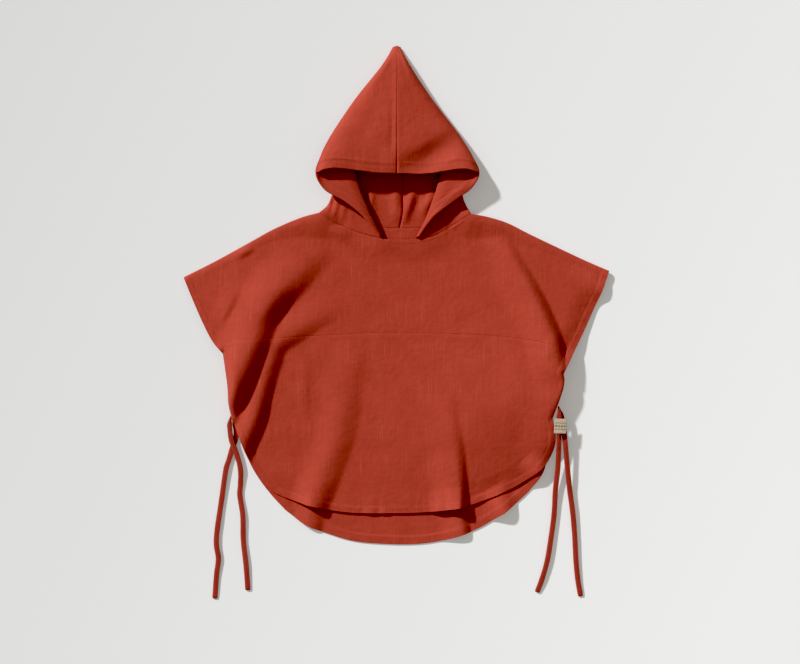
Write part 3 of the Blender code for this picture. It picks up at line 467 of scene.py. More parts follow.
def crinkle(x, y, size, seed):
    """Smooth random values from -1 to 1 that change over about the given size."""
    table = np.random.default_rng(seed).uniform(-1, 1, (LATTICE, LATTICE))
    u, v = x / size, y / size
    i, j = np.floor(u).astype(int), np.floor(v).astype(int)
    s, t = ease(u - i), ease(v - j)
    i, j, i2, j2 = i % LATTICE, j % LATTICE, (i + 1) % LATTICE, (j + 1) % LATTICE
    low = table[i, j] * (1 - s) + table[i2, j] * s
    high = table[i, j2] * (1 - s) + table[i2, j2] * s
    return low * (1 - t) + high * t


def soft_crinkle(x, y, seed=3):
    """The crinkle of the gauze, in millimetres."""
    return (
        0.34 * crinkle(x, y, 46, seed)
        + 0.20 * crinkle(x + 0.4 * y, y - 0.4 * x, 21, seed + 1)
        + 0.07 * crinkle(x - 0.5 * y, y + 0.5 * x, 8, seed + 2)
    )


# %% Hems and seats of stitches
HEM_BAND = 0.55  # how far a turned hem stands up
HEM_FADE = 1.6  # the width of its slope at the inner side
SEAT_DEPTH = 0.70  # how far the stitches pull the hem in
SEAT_REACH = 1.3
PUCKER = 0.50  # the hem's waves beside its stitches
PUCKER_REACH = 5.0
CALM_REACH = 10.0  # the relief fades this near a sewn edge
CHEST_DIP = 0.10
CHEST_DIP_REACH = 1.1
CHEST_RIDGE = 0.20  # the seam allowances lie below the upper side of the chest seam
CHEST_RIDGE_AWAY = 4.5
CHEST_RIDGE_REACH = 4.0


def bell(far, reach):
    """1 at no distance, fading to 0 over about twice the reach."""
    return np.exp(-((far / reach) ** 2))


def hem_relief(far, along, seed):
    """Height that a turned hem adds at a distance from its edge."""
    band = HEM_BAND * (1 - ease((far - HEM_WIDTH + HEM_FADE / 2) / HEM_FADE))
    seat = -SEAT_DEPTH * bell(far - STITCH_INSET, SEAT_REACH)
    pucker = PUCKER * crinkle(along, far, 7, seed) * bell(far - STITCH_INSET, PUCKER_REACH)
    return band + seat + pucker


def hem_edge(left, middle, right):
    """The free lower edge of a panel, from its left tie round to its right tie."""
    return np.vstack([plan_of(left), plan_of(middle)[1:], plan_of(right)[-2::-1]])


FRONT_EDGE = hem_edge(FRONT_HEM_LEFT, FRONT_HEM, FRONT_HEM_RIGHT)
BACK_EDGE = hem_edge(BACK_HEM_LEFT, BACK_HEM, BACK_HEM_RIGHT)
SLEEVE_EDGES = [plan_of(SLEEVE_LEFT), plan_of(SLEEVE_RIGHT)]
BACK_SLEEVE_EDGES = [plan_of(BACK_SLEEVE_LEFT), plan_of(BACK_SLEEVE_RIGHT)]
CHEST_LINE = plan_of(CHEST_SEAM)
print("hems", round(length_of(FRONT_EDGE)), "mm in front and", round(length_of(BACK_EDGE)), "behind")

# %% Surfaces of the front and the back


def edge_distance(lines, x, y):
    """Distance to the nearest of some edge lines."""
    return np.min([np.abs(nearest(line, x, y)[0]) for line in lines], axis=0)


def front_relief(x, y):
    """Crinkle, hems and the seat of the chest seam, on the outer side of the front."""
    hem = edge_distance([FRONT_EDGE, *SLEEVE_EDGES], x, y)
    chest = nearest(CHEST_LINE, x, y)[0]
    free = ease(np.abs(sewn_edge(x, y)[0]) / CALM_REACH)
    ridge = CHEST_RIDGE * bell(chest - CHEST_RIDGE_AWAY, CHEST_RIDGE_REACH)
    seat = ridge - CHEST_DIP * bell(chest, CHEST_DIP_REACH)
    return free * (soft_crinkle(x, y) + seat) + free * hem_relief(hem, x + y, 11)


def back_relief(x, y):
    """Crinkle of the back, kept off the surface it lies on."""
    free = ease(np.abs(sewn_edge(x, y)[0]) / CALM_REACH)
    return free * np.maximum(0, 0.5 * soft_crinkle(x, y, 21))


def front_surface(x, y):
    return front_top(x, y) + front_relief(x, y)


def back_surface(x, y):
    return back_under(x, y) + back_relief(x, y)


def slope_normals(height, x, y, outward):
    """Unit normals, pointing up, of a height function; level on the sewn outline."""
    reach = 0.6
    east = (height(x + reach, y) - height(x - reach, y)) / (2 * reach)
    north = (height(x, y + reach) - height(x, y - reach)) / (2 * reach)
    normals = np.stack([-east, -north, np.ones_like(east)], axis=-1)
    out = sewn_edge(x, y)[0]
    level = np.stack(
        [
            sewn_edge(x + reach, y)[0] - sewn_edge(x - reach, y)[0],
            sewn_edge(x, y + reach)[0] - sewn_edge(x, y - reach)[0],
            np.zeros_like(x),
        ],
        axis=-1,
    )
    return unit(np.where((np.abs(out) < ON_OUTLINE)[..., None], outward * level, normals))


# %% [markdown]
# ## Woven materials
# The gauze is a plain weave: each thread goes over one and under the next.  One node group makes
# that weave from the cloth's own grain coordinates, in metres, with its thicker threads (slubs).
# All the cloths and the sewing thread use it, each with its own thread count.

# %% Node helpers


def node(tree, kind, settings=None, **values):
    """A node with its settings, and with values or links on its named inputs."""
    made = tree.nodes.new(kind)
    for name, value in (settings or {}).items():
        setattr(made, name, value)
    for name, value in values.items():
        socket = made.inputs[int(name[1:])] if name[0] == "_" else made.inputs[name.replace("_", " ")]
        if isinstance(value, bpy.types.NodeSocket):
            tree.links.new(value, socket)
        else:
            socket.default_value = value
    return made


def maths(tree, operation, *values):
    """A Math node's result."""
    inputs = {f"_{place}": value for place, value in enumerate(values)}
    return node(tree, "ShaderNodeMath", {"operation": operation}, **inputs).outputs[0]


def scaled(tree, colour, factor):
    """A colour or vector times a factor."""
    settings = {"operation": "SCALE"}
    return node(tree, "ShaderNodeVectorMath", settings, _0=colour, Scale=factor).outputs[0]


def noise(tree, place, scale, detail):
    """A noise texture's outputs."""
    return node(tree, "ShaderNodeTexNoise", Vector=place, Scale=scale, Detail=detail).outputs


def new_group(name, inputs, outputs):
    """An empty shader node group with named inputs and outputs."""
    group = bpy.data.node_groups.new(name, "ShaderNodeTree")
    for label, kind, value in inputs:
        socket = group.interface.new_socket(label, in_out="INPUT", socket_type=kind)
        if value is not None:
            socket.default_value = value
    for label, kind in outputs:
        group.interface.new_socket(label, in_out="OUTPUT", socket_type=kind)
    return group, group.nodes.new("NodeGroupInput").outputs, group.nodes.new("NodeGroupOutput").inputs


# %% The weave
THREAD_HEIGHT = 0.00016  # in metres, as all heights in a material
SLUB_HEIGHT = 0.00016
PUFF_HEIGHT = 0.0009  # of the crinkle between the places where the plies are tacked together
WANDER = 1.6  # how far a thread bends, in threads
WANDER_SCALE = 140.0  # of its bends, per metre
SLUB_STRETCHES = ((1.1, 0.014, 1.0), (0.014, 1.1, 1.0))  # along the warp and along the weft
SLUB_RANGE = (0.58, 0.82)  # of the noise, from no slub to a whole one
WEFT_SLUBS = 0.4  # how strong they are beside those of the warp
PUFF_SCALE = 130.0
MOTTLE_SCALE = 34.0  # of the cloth's uneven colour


def thread_crown(group, place):
    """How round a thread is across its width: 0 at its two sides and 1 in its middle."""
    return maths(group, "SINE", maths(group, "MULTIPLY", maths(group, "FRACT", place), math.pi))


def make_weave_group():
    """Plain weave with slubs and crinkle: its height in metres and masks for its colour, the thread mask
    among them placing painted shade between the threads.
    """
    group, given, result = new_group(
        "gauze weave",
        [
            ("Grain", "NodeSocketVector", None),
            ("Threads per metre", "NodeSocketFloat", 1200.0),
            ("Crinkle", "NodeSocketFloat", 1.0),
        ],
        [("Height", "NodeSocketFloat"), ("Thread", "NodeSocketFloat"), ("Slub", "NodeSocketFloat"),
         ("Mottle", "NodeSocketFloat")],
    )
    threads = scaled(group, given["Grain"], given["Threads per metre"])
    wander = noise(group, given["Grain"], WANDER_SCALE, 1.0)["Color"]
    drift = scaled(group, wander, WANDER)
    moved = node(group, "ShaderNodeVectorMath", {"operation": "ADD"}, _0=threads, _1=drift)
    parts = node(group, "ShaderNodeSeparateXYZ", Vector=moved.outputs[0]).outputs
    warp_round = thread_crown(group, parts["X"])
    weft_round = thread_crown(group, parts["Y"])
    turn = maths(group, "ADD", maths(group, "FLOOR", parts["X"]), maths(group, "FLOOR", parts["Y"]))
    over = maths(group, "FLOORED_MODULO", turn, 2.0)
    warp = maths(group, "MULTIPLY", warp_round, maths(group, "MULTIPLY_ADD", weft_round, 0.5, 0.5))
    weft = maths(group, "MULTIPLY", weft_round, maths(group, "MULTIPLY_ADD", warp_round, 0.5, 0.5))
    thread = node(group, "ShaderNodeMix", _0=over, _2=warp, _3=weft).outputs[0]

    slubs = []
    for stretch in SLUB_STRETCHES:
        place = node(group, "ShaderNodeVectorMath", {"operation": "MULTIPLY"}, _0=threads, _1=stretch)
        streak = noise(group, place.outputs[0], 1.0, 1.0)["Fac"]
        strong = node(group, "ShaderNodeMapRange", Value=streak, _1=SLUB_RANGE[0], _2=SLUB_RANGE[1])
        slubs.append(strong.outputs[0])
    slub = maths(group, "MAXIMUM", slubs[0], maths(group, "MULTIPLY", slubs[1], WEFT_SLUBS))
    puff = noise(group, given["Grain"], PUFF_SCALE, 4.0)["Fac"]
    mottle = noise(group, given["Grain"], MOTTLE_SCALE, 3.0)["Fac"]

    height = maths(group, "MULTIPLY", thread, THREAD_HEIGHT)
    height = maths(group, "MULTIPLY_ADD", slub, SLUB_HEIGHT, height)
    puffed = maths(group, "MULTIPLY", puff, given["Crinkle"])
    height = maths(group, "MULTIPLY_ADD", puffed, PUFF_HEIGHT, height)
    for label, value in (("Height", height), ("Thread", thread), ("Slub", slub), ("Mottle", mottle)):
        group.links.new(value, result[label])
    return group


weave = make_weave_group()
print("weave group", len(weave.nodes), "nodes")

# %% [markdown]
# ## Gauze, thread and label
# Each thread's crown is painted a little lighter and the hollows between the threads deeper: painted
# light and painted shade of the weave.  Fine loose fibres catch grazing light, which the sheen of the
# shader stands for.  The ties are a tone deeper than the panels, and the sewing thread is painted a little
# lighter, for the highlight that the stitches catch.

# %% Cloth material
SLUB_SHOWS = 0.55  # how far a slub takes on its pale colour
LEAST_TONE = 0.88  # the uneven colour runs from this share
TONE_SPAN = 0.24  # over this much
ROUGH_BETWEEN = 0.96  # roughness between the threads
ROUGH_ON = 0.86  # and on them
BUMP_STRENGTH = 0.8
SPECULAR = 0.18
SHEEN_ROUGHNESS = 0.45
SHEEN_TINT = (1.0, 0.62, 0.52, 1.0)


def mixed(tree, factor, first, second):
    """A mix of two colours."""
    made = node(tree, "ShaderNodeMix", {"data_type": "RGBA"}, _0=factor)
    for place, value in ((6, first), (7, second)):
        if isinstance(value, bpy.types.NodeSocket):
            tree.links.new(value, made.inputs[place])
        else:
            made.inputs[place].default_value = (*value, 1.0)
    return made.outputs[2]


def cloth_material(name, painted_shade_between_threads, painted_light_on_crowns, pale, threads, crinkle_amount, sheen):
    """A woven cotton: painted shade between the threads, painted light on their crowns and pale on its
    slubs.
    """
    made = bpy.data.materials.new(name)
    made.use_nodes = True
    tree = made.node_tree
    shader = tree.nodes["Principled BSDF"]
    grain = node(tree, "ShaderNodeUVMap", {"uv_map": "grain"}).outputs[0]
    cloth = node(tree, "ShaderNodeGroup", {"node_tree": weave}, Grain=grain,
                 Threads_per_metre=threads, Crinkle=crinkle_amount).outputs
    # the thread mask paints shade between the threads and light on their crowns
    colour = mixed(tree, cloth["Thread"], painted_shade_between_threads, painted_light_on_crowns)
    colour = mixed(tree, maths(tree, "MULTIPLY", cloth["Slub"], SLUB_SHOWS), colour, pale)
    tone = maths(tree, "MULTIPLY_ADD", cloth["Mottle"], TONE_SPAN, LEAST_TONE)
    tree.links.new(scaled(tree, colour, tone), shader.inputs["Base Color"])
    rough = node(tree, "ShaderNodeMapRange", Value=cloth["Thread"], _3=ROUGH_BETWEEN, _4=ROUGH_ON)
    tree.links.new(rough.outputs[0], shader.inputs["Roughness"])
    bump = node(tree, "ShaderNodeBump", Strength=BUMP_STRENGTH, Distance=1.0, Height=cloth["Height"])
    tree.links.new(bump.outputs[0], shader.inputs["Normal"])
    shader.inputs["Specular IOR Level"].default_value = SPECULAR
    shader.inputs["Sheen Weight"].default_value = sheen
    shader.inputs["Sheen Roughness"].default_value = SHEEN_ROUGHNESS
    shader.inputs["Sheen Tint"].default_value = SHEEN_TINT
    return made


# %% Border of the label
BAR_PLACE = 0.0046  # of the label's two bars, in metres from its middle
BAR_HALF = 0.0003
DIAMOND_PITCH = 0.0042
DIAMOND_HALF = 0.0018
DIAMOND_HOLE = 0.0008


def make_border_group():
    """Mask of two narrow bars and a row of diamonds between them, across the middle of a tape."""
    group, given, result = new_group("woven border", [("Grain", "NodeSocketVector", None)],
                                     [("Mask", "NodeSocketFloat")])
    place = node(group, "ShaderNodeSeparateXYZ", Vector=given["Grain"]).outputs
    up = maths(group, "ABSOLUTE", place["Y"])
    from_bar = maths(group, "ABSOLUTE", maths(group, "SUBTRACT", up, BAR_PLACE))
    bar = maths(group, "LESS_THAN", from_bar, BAR_HALF)
    repeat = maths(group, "FRACT", maths(group, "DIVIDE", place["X"], DIAMOND_PITCH))
    from_middle = maths(group, "ABSOLUTE", maths(group, "SUBTRACT", repeat, 0.5))
    across = maths(group, "MULTIPLY", from_middle, DIAMOND_PITCH)
    diamond = maths(group, "LESS_THAN", maths(group, "ADD", across, up), DIAMOND_HALF)
    hole = maths(group, "LESS_THAN", maths(group, "ADD", across, up), DIAMOND_HOLE)
    ring = maths(group, "SUBTRACT", diamond, hole)
    group.links.new(maths(group, "MAXIMUM", bar, ring), result["Mask"])
    return group


def add_border(material, colour):
    """Weaves the border into a cloth in a darker colour."""
    tree = material.node_tree
    grain = node(tree, "ShaderNodeUVMap", {"uv_map": "grain"}).outputs[0]
    mask = node(tree, "ShaderNodeGroup", {"node_tree": make_border_group()}, Grain=grain).outputs["Mask"]
    target = tree.nodes["Principled BSDF"].inputs["Base Color"]
    plain = target.links[0].from_socket
    tree.links.new(mixed(tree, mask, plain, colour), target)


# %% Cloths
# The first colour of each cloth is painted shade between the threads, the second painted light on their
# crowns.
gauze = cloth_material("brick gauze", (0.318, 0.052, 0.036), (0.46, 0.085, 0.062), (0.545, 0.142, 0.10),
                       1250.0, 1.0, 0.08)
tie_gauze = cloth_material("tie gauze", (0.27, 0.042, 0.032), (0.39, 0.072, 0.056), (0.46, 0.12, 0.095),
                           1500.0, 0.5, 0.08)
# The sewing thread is painted lighter than the gauze: a painted highlight along the stitches.
thread_cotton = cloth_material("sewing thread", (0.40, 0.08, 0.06), (0.55, 0.135, 0.105),
                               (0.60, 0.18, 0.14), 2600.0, 0.0, 0.08)
label_cotton = cloth_material("label cotton", (0.60, 0.49, 0.385), (0.80, 0.67, 0.52),
                              (0.86, 0.73, 0.58), 2400.0, 0.1, 0.05)
add_border(label_cotton, (0.10, 0.055, 0.035))
print("cloths", [cloth.name for cloth in (gauze, tie_gauze, thread_cotton, label_cotton)])

# %% [markdown]
# ## Surface under the poncho
# The poncho lies on a wide pale table.  Its paint glows faintly, though it is no lamp: painted light that
# keeps the shadows on it light.  Its colour and its glow both grow a little brighter toward the lower
# right, a painted fall of light.

# %% Surface
SURFACE_HALF = 6.0
SURFACE_DROP = 0.0002  # below the poncho, so that the two never share a plane
SURFACE_TONE = 0.55
# the painted glow of the surface, which is no lamp
PAINTED_GLOW = 0.20
# colour and glow are painted brighter toward the lower right: painted light
GLOW_SLOPE = (0.12, -0.06, 0.0)  # how much brighter the surface gets, per metre
GLOW_MIDDLE = 1.02
GLOW_LIMITS = (0.9, 1.11)


def lay_surface():
    """A wide pale surface whose paint glows a little: painted light, brighter toward the lower right."""
    mesh = bpy.data.meshes.new("pale_surface")
    corners = [(-1, -1), (1, -1), (1, 1), (-1, 1)]
    mesh.from_pydata([(SURFACE_HALF * x, SURFACE_HALF * y, 0) for x, y in corners], [], [(0, 1, 2, 3)])
    made = bpy.data.objects.new("pale_surface", mesh)
    bpy.context.scene.collection.objects.link(made)
    paint = bpy.data.materials.new("pale paint")
    paint.use_nodes = True
    tree = paint.node_tree
    shader = tree.nodes["Principled BSDF"]
    place = node(tree, "ShaderNodeNewGeometry").outputs["Position"]
    slope = node(tree, "ShaderNodeVectorMath", {"operation": "DOT_PRODUCT"}, _0=place, _1=GLOW_SLOPE)
    share = maths(tree, "ADD", slope.outputs["Value"], GLOW_MIDDLE)
    share = node(tree, "ShaderNodeClamp", Value=share, Min=GLOW_LIMITS[0], Max=GLOW_LIMITS[1]).outputs[0]
    # painted light: the share that grows toward the lower right, for both the colour and the glow
    painted_light = scaled(tree, (1.0, 1.0, 1.0), share)
    tree.links.new(scaled(tree, painted_light, SURFACE_TONE), shader.inputs["Base Color"])
    tree.links.new(painted_light, shader.inputs["Emission Color"])
    shader.inputs["Emission Strength"].default_value = PAINTED_GLOW
    shader.inputs["Roughness"].default_value = 0.95
    shader.inputs["Specular IOR Level"].default_value = 0.1
    mesh.materials.append(paint)
    made.location.z = -SURFACE_DROP
    made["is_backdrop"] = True
    return made


surface = lay_surface()
print(surface.name, 2 * SURFACE_HALF, "m wide")

# %% [markdown]
# ## Turning points into cloth
# A panel is a closed wall: an outer and an inner layer of the same grid, joined round the rim.
# Along a free hem the rim bulges a little, as a folded edge does.

# %% Meshes and pieces
RIM_BULGE = 0.42  # of the wall's depth


def cloth_mesh(name, points, faces, grain):
    """A smooth mesh of points in millimetres, with each one's place on the cloth as its grain."""
    mesh = bpy.data.meshes.new(name)
    mesh.from_pydata((points * MM).tolist(), [], faces)
    corners = np.empty(len(mesh.loops), dtype=np.int32)
    mesh.loops.foreach_get("vertex_index", corners)
    layer = mesh.uv_layers.new(name="grain")
    layer.data.foreach_set("uv", (grain[corners] * MM).astype(np.float32).ravel())
    mesh.shade_smooth()
    return mesh


def tube_faces(rings, sides):
    """The two end faces of a closed tube, and the quads between its rings of points."""
    last = (rings - 1) * sides
    ends = [tuple(range(sides))[::-1], tuple(last + k for k in range(sides))]
    quads = []
    for ring in range(0, last, sides):
        for k in range(sides):
            beside = (k + 1) % sides
            quads.append((ring + k, ring + beside, ring + sides + beside, ring + sides + k))
    return ends, quads


def finish_piece(name, mesh, material, node_names=()):
    """Puts a mesh in the scene as a piece of the poncho."""
    mesh.materials.append(material)
    made = bpy.data.objects.new(name, mesh)
    bpy.context.scene.collection.objects.link(made)
    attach(made, "root")
    if node_names:
        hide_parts(*node_names)
    print(name, len(mesh.polygons), "faces")
    return made


# %% Cloth walls


def closed_wall(name, outer, inner, grain, faces, bulge, material, node_name):
    """A wall between two layers of points, with a rim that bulges by a share per outline point."""
    count = len(outer)
    edges = np.concatenate([faces[:, [k, (k + 1) % 4]] for k in range(4)]).tolist()
    keys = {(a, b) for a, b in edges}
    rim_edges = [(a, b) for a, b in edges if (b, a) not in keys]
    after = dict(rim_edges)
    before = {b: a for a, b in rim_edges}
    rim = sorted(after)
    place = {index: 2 * count + k for k, index in enumerate(rim)}
    middle = []
    for index in rim:
        ahead = outer[after[index]] - outer[before[index]]
        through_wall = inner[index] - outer[index]
        out = np.cross(ahead, through_wall)
        out /= max(np.linalg.norm(out), 1e-9)
        depth = np.linalg.norm(through_wall)
        middle.append((outer[index] + inner[index]) / 2 + RIM_BULGE * depth * bulge[index] * out)
    sides = []
    for a, b in rim_edges:
        sides.append((b, a, place[a], place[b]))
        sides.append((place[b], place[a], a + count, b + count))
    under = faces[:, ::-1] + count
    mesh = cloth_mesh(name, np.vstack([outer, inner, middle]), faces.tolist() + under.tolist() + sides,
                      np.vstack([grain, grain, grain[rim]]))
    return finish_piece(name, mesh, material, [node_name])


def grid_faces(rows, columns):
    """Faces of a grid whose rows run down the garment and whose columns run to the right."""
    r, c = np.meshgrid(np.arange(rows - 1), np.arange(columns - 1), indexing="ij")
    first = (r * columns + c).ravel()
    return np.stack([first, first + columns, first + columns + 1, first + 1], axis=1)


def spread(stops):
    """Values from stops of (value, steps up to the next stop)."""
    values = [np.linspace(start, end, steps, endpoint=False)
              for (start, steps), (end, _) in zip(stops, stops[1:])]
    return np.concatenate(values + [[stops[-1][0]]])


def patch(top, bottom, left, right, across, down):
    """Plan points of a grid between four edge lines."""
    upper = at_share(top, across[0])[None]
    lower = at_share(bottom, across[1])[None]
    first = at_share(left, down)[:, None]
    last = at_share(right, down)[:, None]
    u = np.linspace(0, 1, len(across[0]))[None, :, None]
    v = down[:, None, None]
    corners = (1 - v) * ((1 - u) * top[0] + u * top[-1]) + v * ((1 - u) * bottom[0] + u * bottom[-1])
    return (1 - v) * upper + v * lower + (1 - u) * first + u * last - corners


def in_hem(far):
    """1 within the turned hem, 0 further in."""
    return 1 - ease(far - HEM_WIDTH + 0.5)


def panel(name, plan, height, outward, wall_side, hems, seam_row=None, shift=0.0):
    """A panel on a height function; "wall_side" is -1 where its wall lies below that.

    A row of the grid that is sewn to another panel is moved by the shift, and made square at its
    two ends, so that the walls of the two panels meet without crossing.
    """
    x, y = plan[..., 0], plan[..., 1]
    surface = np.stack([x, y, height(x, y)], axis=-1)
    hem = edge_distance(hems, x, y)
    from_seam = np.abs(sewn_edge(x, y)[0])
    thick = WALL + HEM_EXTRA * in_hem(hem) * ease(from_seam / HEM_TAPER)
    other = surface + (wall_side * thick)[..., None] * slope_normals(height, x, y, outward)
    upper, lower = (surface, other) if wall_side < 0 else (other, surface)
    if seam_row is not None:
        along = unit(np.gradient(plan[seam_row], axis=0))
        off = shift * np.stack([-along[:, 1], along[:, 0], np.zeros(len(along))], axis=1)
        upper[seam_row] += off
        lower[seam_row] += off
        for end, inward in ((0, WALL), (-1, -WALL)):
            lower[seam_row, end] = upper[seam_row, end] + inward * np.array([*along[end], 0])
    on_hem = (hem < ON_HEM).astype(float).ravel()
    return closed_wall(f"{name}_cloth", upper.reshape(-1, 3), lower.reshape(-1, 3), plan.reshape(-1, 2),
                       grid_faces(*x.shape), on_hem, gauze, name)


# %% [markdown]
# ## Ties
# Four flat ties come out of the lower ends of the side seams, two on each side, and close the
# poncho at its sides.  Each is a strip folded in on itself and stitched along its open edge, so
# its section is a flat oval with one shallow groove.  The section is swept along the tie's route,
# and is narrow where the tie comes out of the seam, because it is folded together there.

# %% Routes of the ties
TIE_WIDTH = 8.0
TIE_THICK = 2.0
TIE_STEP = 2.2  # between two rings of points
TIE_ROOT = 0.3  # share of its width that a tie has in the seam
TIE_WIDENS = 15.0  # the length over which it gets its full width
TIE_ROUTES = {
    "tie_left_inner": [(-246.5, -181.2, 9.5), (-248.3, -190, 8.9), (-248.5, -199.5, 8.3),
                       (-246, -217.5, 7.4), (-239.5, -235.5, 6.4), (-233, -259.5, 5.5),
                       (-233, -283.5, 3), (-234, -300, 2.5), (-229.5, -331, 3.5),
                       (-228.7, -367.5, 3), (-224.5, -406, 3.5), (-222, -442.5, 2)],
    "tie_left_outer": [(-244.6, -183.8, 7.2), (-242.6, -191, 6.2), (-240, -200, 4.6), (-240, -214, 3.4),
                       (-245.3, -229.5, 3), (-250, -246, 3), (-255, -262.5, 4), (-261, -304.5, 3),
                       (-268, -353, 3.5), (-269, -375, 4), (-266, -395, 3.5), (-269, -420, 2.5),
                       (-271.5, -455, 1.6)],
    "tie_right_inner": [(241.9, -166, 21.2), (243, -176, 21), (242.9, -195, 19.6), (243, -217.5, 17),
                        (242.5, -241.5, 13), (241.5, -262.5, 10), (238.5, -292.5, 7), (236.5, -330, 5),
                        (231.5, -367.5, 5), (226.5, -397.5, 5), (219, -424.5, 4), (211.5, -445.5, 2)],
    "tie_right_outer": [(242.8, -168, 17.8), (246.4, -179, 17.6), (250.4, -203, 16.2), (252.8, -225, 15),
                        (256.5, -262.5, 11), (260, -292.5, 7), (264.5, -325.5, 6), (267.5, -360, 5),
                        (269.5, -397.5, 4.5), (272.5, -427.5, 3.5), (276.8, -451.5, 2)],
}
# The upper half of a tie's section, from one edge to the other, as shares of half its size.
TIE_SECTION = [(-1, 0), (-0.95, 0.5), (-0.84, 0.8), (-0.66, 0.92), (-0.5, 0.62), (-0.36, 0.9), (-0.1, 1),
               (0.25, 1), (0.6, 0.96), (0.82, 0.8), (0.95, 0.5), (1, 0)]


# %% Tie maker
TIE_ROLL = 3.0  # degrees by which a tie leans to one side and the other
TIE_WAVER = 0.05  # share of its width by which it is narrower in places
TIE_END = 0.8  # share of its width that it has at its free end
TIE_END_REACH = 2.5
TIE_PRESSED = 0.55  # share of its thickness that it has at both ends
TIE_PRESSED_REACH = 3.0
TIE_RUMPLE = 0.10  # share of its thickness by which its faces are uneven
TIE_RUMPLE_LIMIT = 1.04


def build_tie(name, route, seed):
    """A narrow flat strap that follows its route."""
    line = smooth(route)
    length = length_of(line)
    count = round(length / TIE_STEP) + 1
    spine = at_share(line, np.linspace(0, 1, count))
    along = np.linspace(0, length, count)
    ahead = unit(np.gradient(spine, axis=0))
    across = unit(np.stack([ahead[:, 1], -ahead[:, 0], np.zeros(count)], axis=-1))
    roll = np.radians(TIE_ROLL) * crinkle(along, np.zeros(count), 26, seed)[:, None]
    across = across * np.cos(roll) + np.cross(ahead, across) * np.sin(roll)
    up = np.cross(across, ahead)
    width = 1 - TIE_WAVER * np.abs(crinkle(along, np.zeros(count), 12, seed + 1))
    width *= TIE_END + (1 - TIE_END) * ease((length - along) / TIE_END_REACH)
    width *= TIE_ROOT + (1 - TIE_ROOT) * ease(along / TIE_WIDENS)
    from_end = np.minimum(along, length - along)
    thick = TIE_PRESSED + (1 - TIE_PRESSED) * ease(from_end / TIE_PRESSED_REACH)
    section = TIE_SECTION + [(a, -b) for a, b in TIE_SECTION[-2:0:-1]]
    sides = len(section)
    rings = []
    for place, (a, b) in enumerate(section):
        rumple = crinkle(along, np.full(count, 9.0 * place), 7, seed + 2) * np.sign(b)
        uneven = thick * np.minimum(1 + TIE_RUMPLE * rumple, TIE_RUMPLE_LIMIT)
        rings.append(spine + (0.5 * TIE_WIDTH * a * width)[:, None] * across
                     + (0.5 * TIE_THICK * b * uneven)[:, None] * up)
    points = np.stack(rings, axis=1).reshape(-1, 3)
    ends, quads = tube_faces(count, sides)
    over_tie = np.tile(np.array(section)[:, 0] * TIE_WIDTH / 2, count)
    grain = np.stack([over_tie, np.repeat(along, sides)], axis=1)
    mesh = cloth_mesh(name, points, ends + quads, grain)
    made = finish_piece(f"{name}_strap", mesh, tie_gauze, [name])
    print(name, round(length), "mm long")
    return made


for seed, (name, route) in enumerate(TIE_ROUTES.items()):
    build_tie(name, route, 60 + 10 * seed)

# %% [markdown]
# ## The three body panels
# The grid is close at hems and seams, where the cloth rounds and is stitched, and wider between.

# %% Grid spacing
EDGE_RUN = [0.4, 1.0, 2.0, 3.4, 5.0, 6.8, 8.4, 9.6, 10.6, 11.6, 12.8, 14.6]  # from a free or sewn edge
SEAM_RUN = [0.6, 1.3, 2.4, 4.0, 6.0, 8.5]  # from a seam between two panels
FRONT_COLUMNS = (72, 80, 72)  # below the left shoulder, the neck and the right shoulder
BACK_COLUMNS = (40, 42, 40)
YOKE_ROWS = 42
SKIRT_ROWS = 84
BACK_ROWS = 80


def run(line, first, last, count, near_first=(), near_last=()):
    """Shares of a line from one to another, even but for given distances from either end."""
    length = length_of(line)
    start = [first * length + near for near in (0, *near_first)]
    end = [last * length - near for near in (*near_last[::-1], 0)]
    middle = np.linspace(start[-1], end[0], count + 1)
    return np.concatenate([start[:-1], middle, end[1:]]) / length


def three_runs(line, corners, counts):
    """Shares of an edge line in three runs, close at both of its ends."""
    first = run(line, 0, corners[0], counts[0], EDGE_RUN)
    middle = run(line, corners[0], corners[1], counts[1])
    last = run(line, corners[1], 1, counts[2], (), EDGE_RUN)
    return np.concatenate([first[:-1], middle, last[1:]])


def shoulders(neck):
    """The upper edge line of a panel, and its shares at both ends of the neckline."""
    line = np.vstack([plan_of(SHOULDER_LEFT), neck[1:], plan_of(SHOULDER_RIGHT)[1:]])
    return line, (share_of(line, NECK_LEFT), share_of(line, NECK_RIGHT))


# %% Front yoke
top, corners = shoulders(plan_of(FRONT_NECK))
along_seam = three_runs(CHEST_LINE, (0.29, 0.7), FRONT_COLUMNS)
plan = patch(top, CHEST_LINE, *SLEEVE_EDGES, (three_runs(top, corners, FRONT_COLUMNS), along_seam),
             run(SLEEVE_EDGES[0], 0, 1, YOKE_ROWS, EDGE_RUN, SEAM_RUN))
front_yoke = panel("front_yoke", plan, front_surface, 1, -1, [FRONT_EDGE, *SLEEVE_EDGES], -1, CHEST_GAP / 2)

# %% Front skirt
left = np.vstack([plan_of(SIDE_LEFT), plan_of(FRONT_HEM_LEFT)[1:]])
right = np.vstack([plan_of(SIDE_RIGHT), plan_of(FRONT_HEM_RIGHT)[1:]])
hem = plan_of(FRONT_HEM)
plan = patch(CHEST_LINE, hem, left, right, (along_seam, three_runs(hem, (0.27, 0.73), FRONT_COLUMNS)),
             run(left, 0, 1, SKIRT_ROWS, SEAM_RUN, EDGE_RUN))
front_skirt = panel("front_skirt", plan, front_surface, 1, -1, [FRONT_EDGE, *SLEEVE_EDGES], 0,
                    -CHEST_GAP / 2)

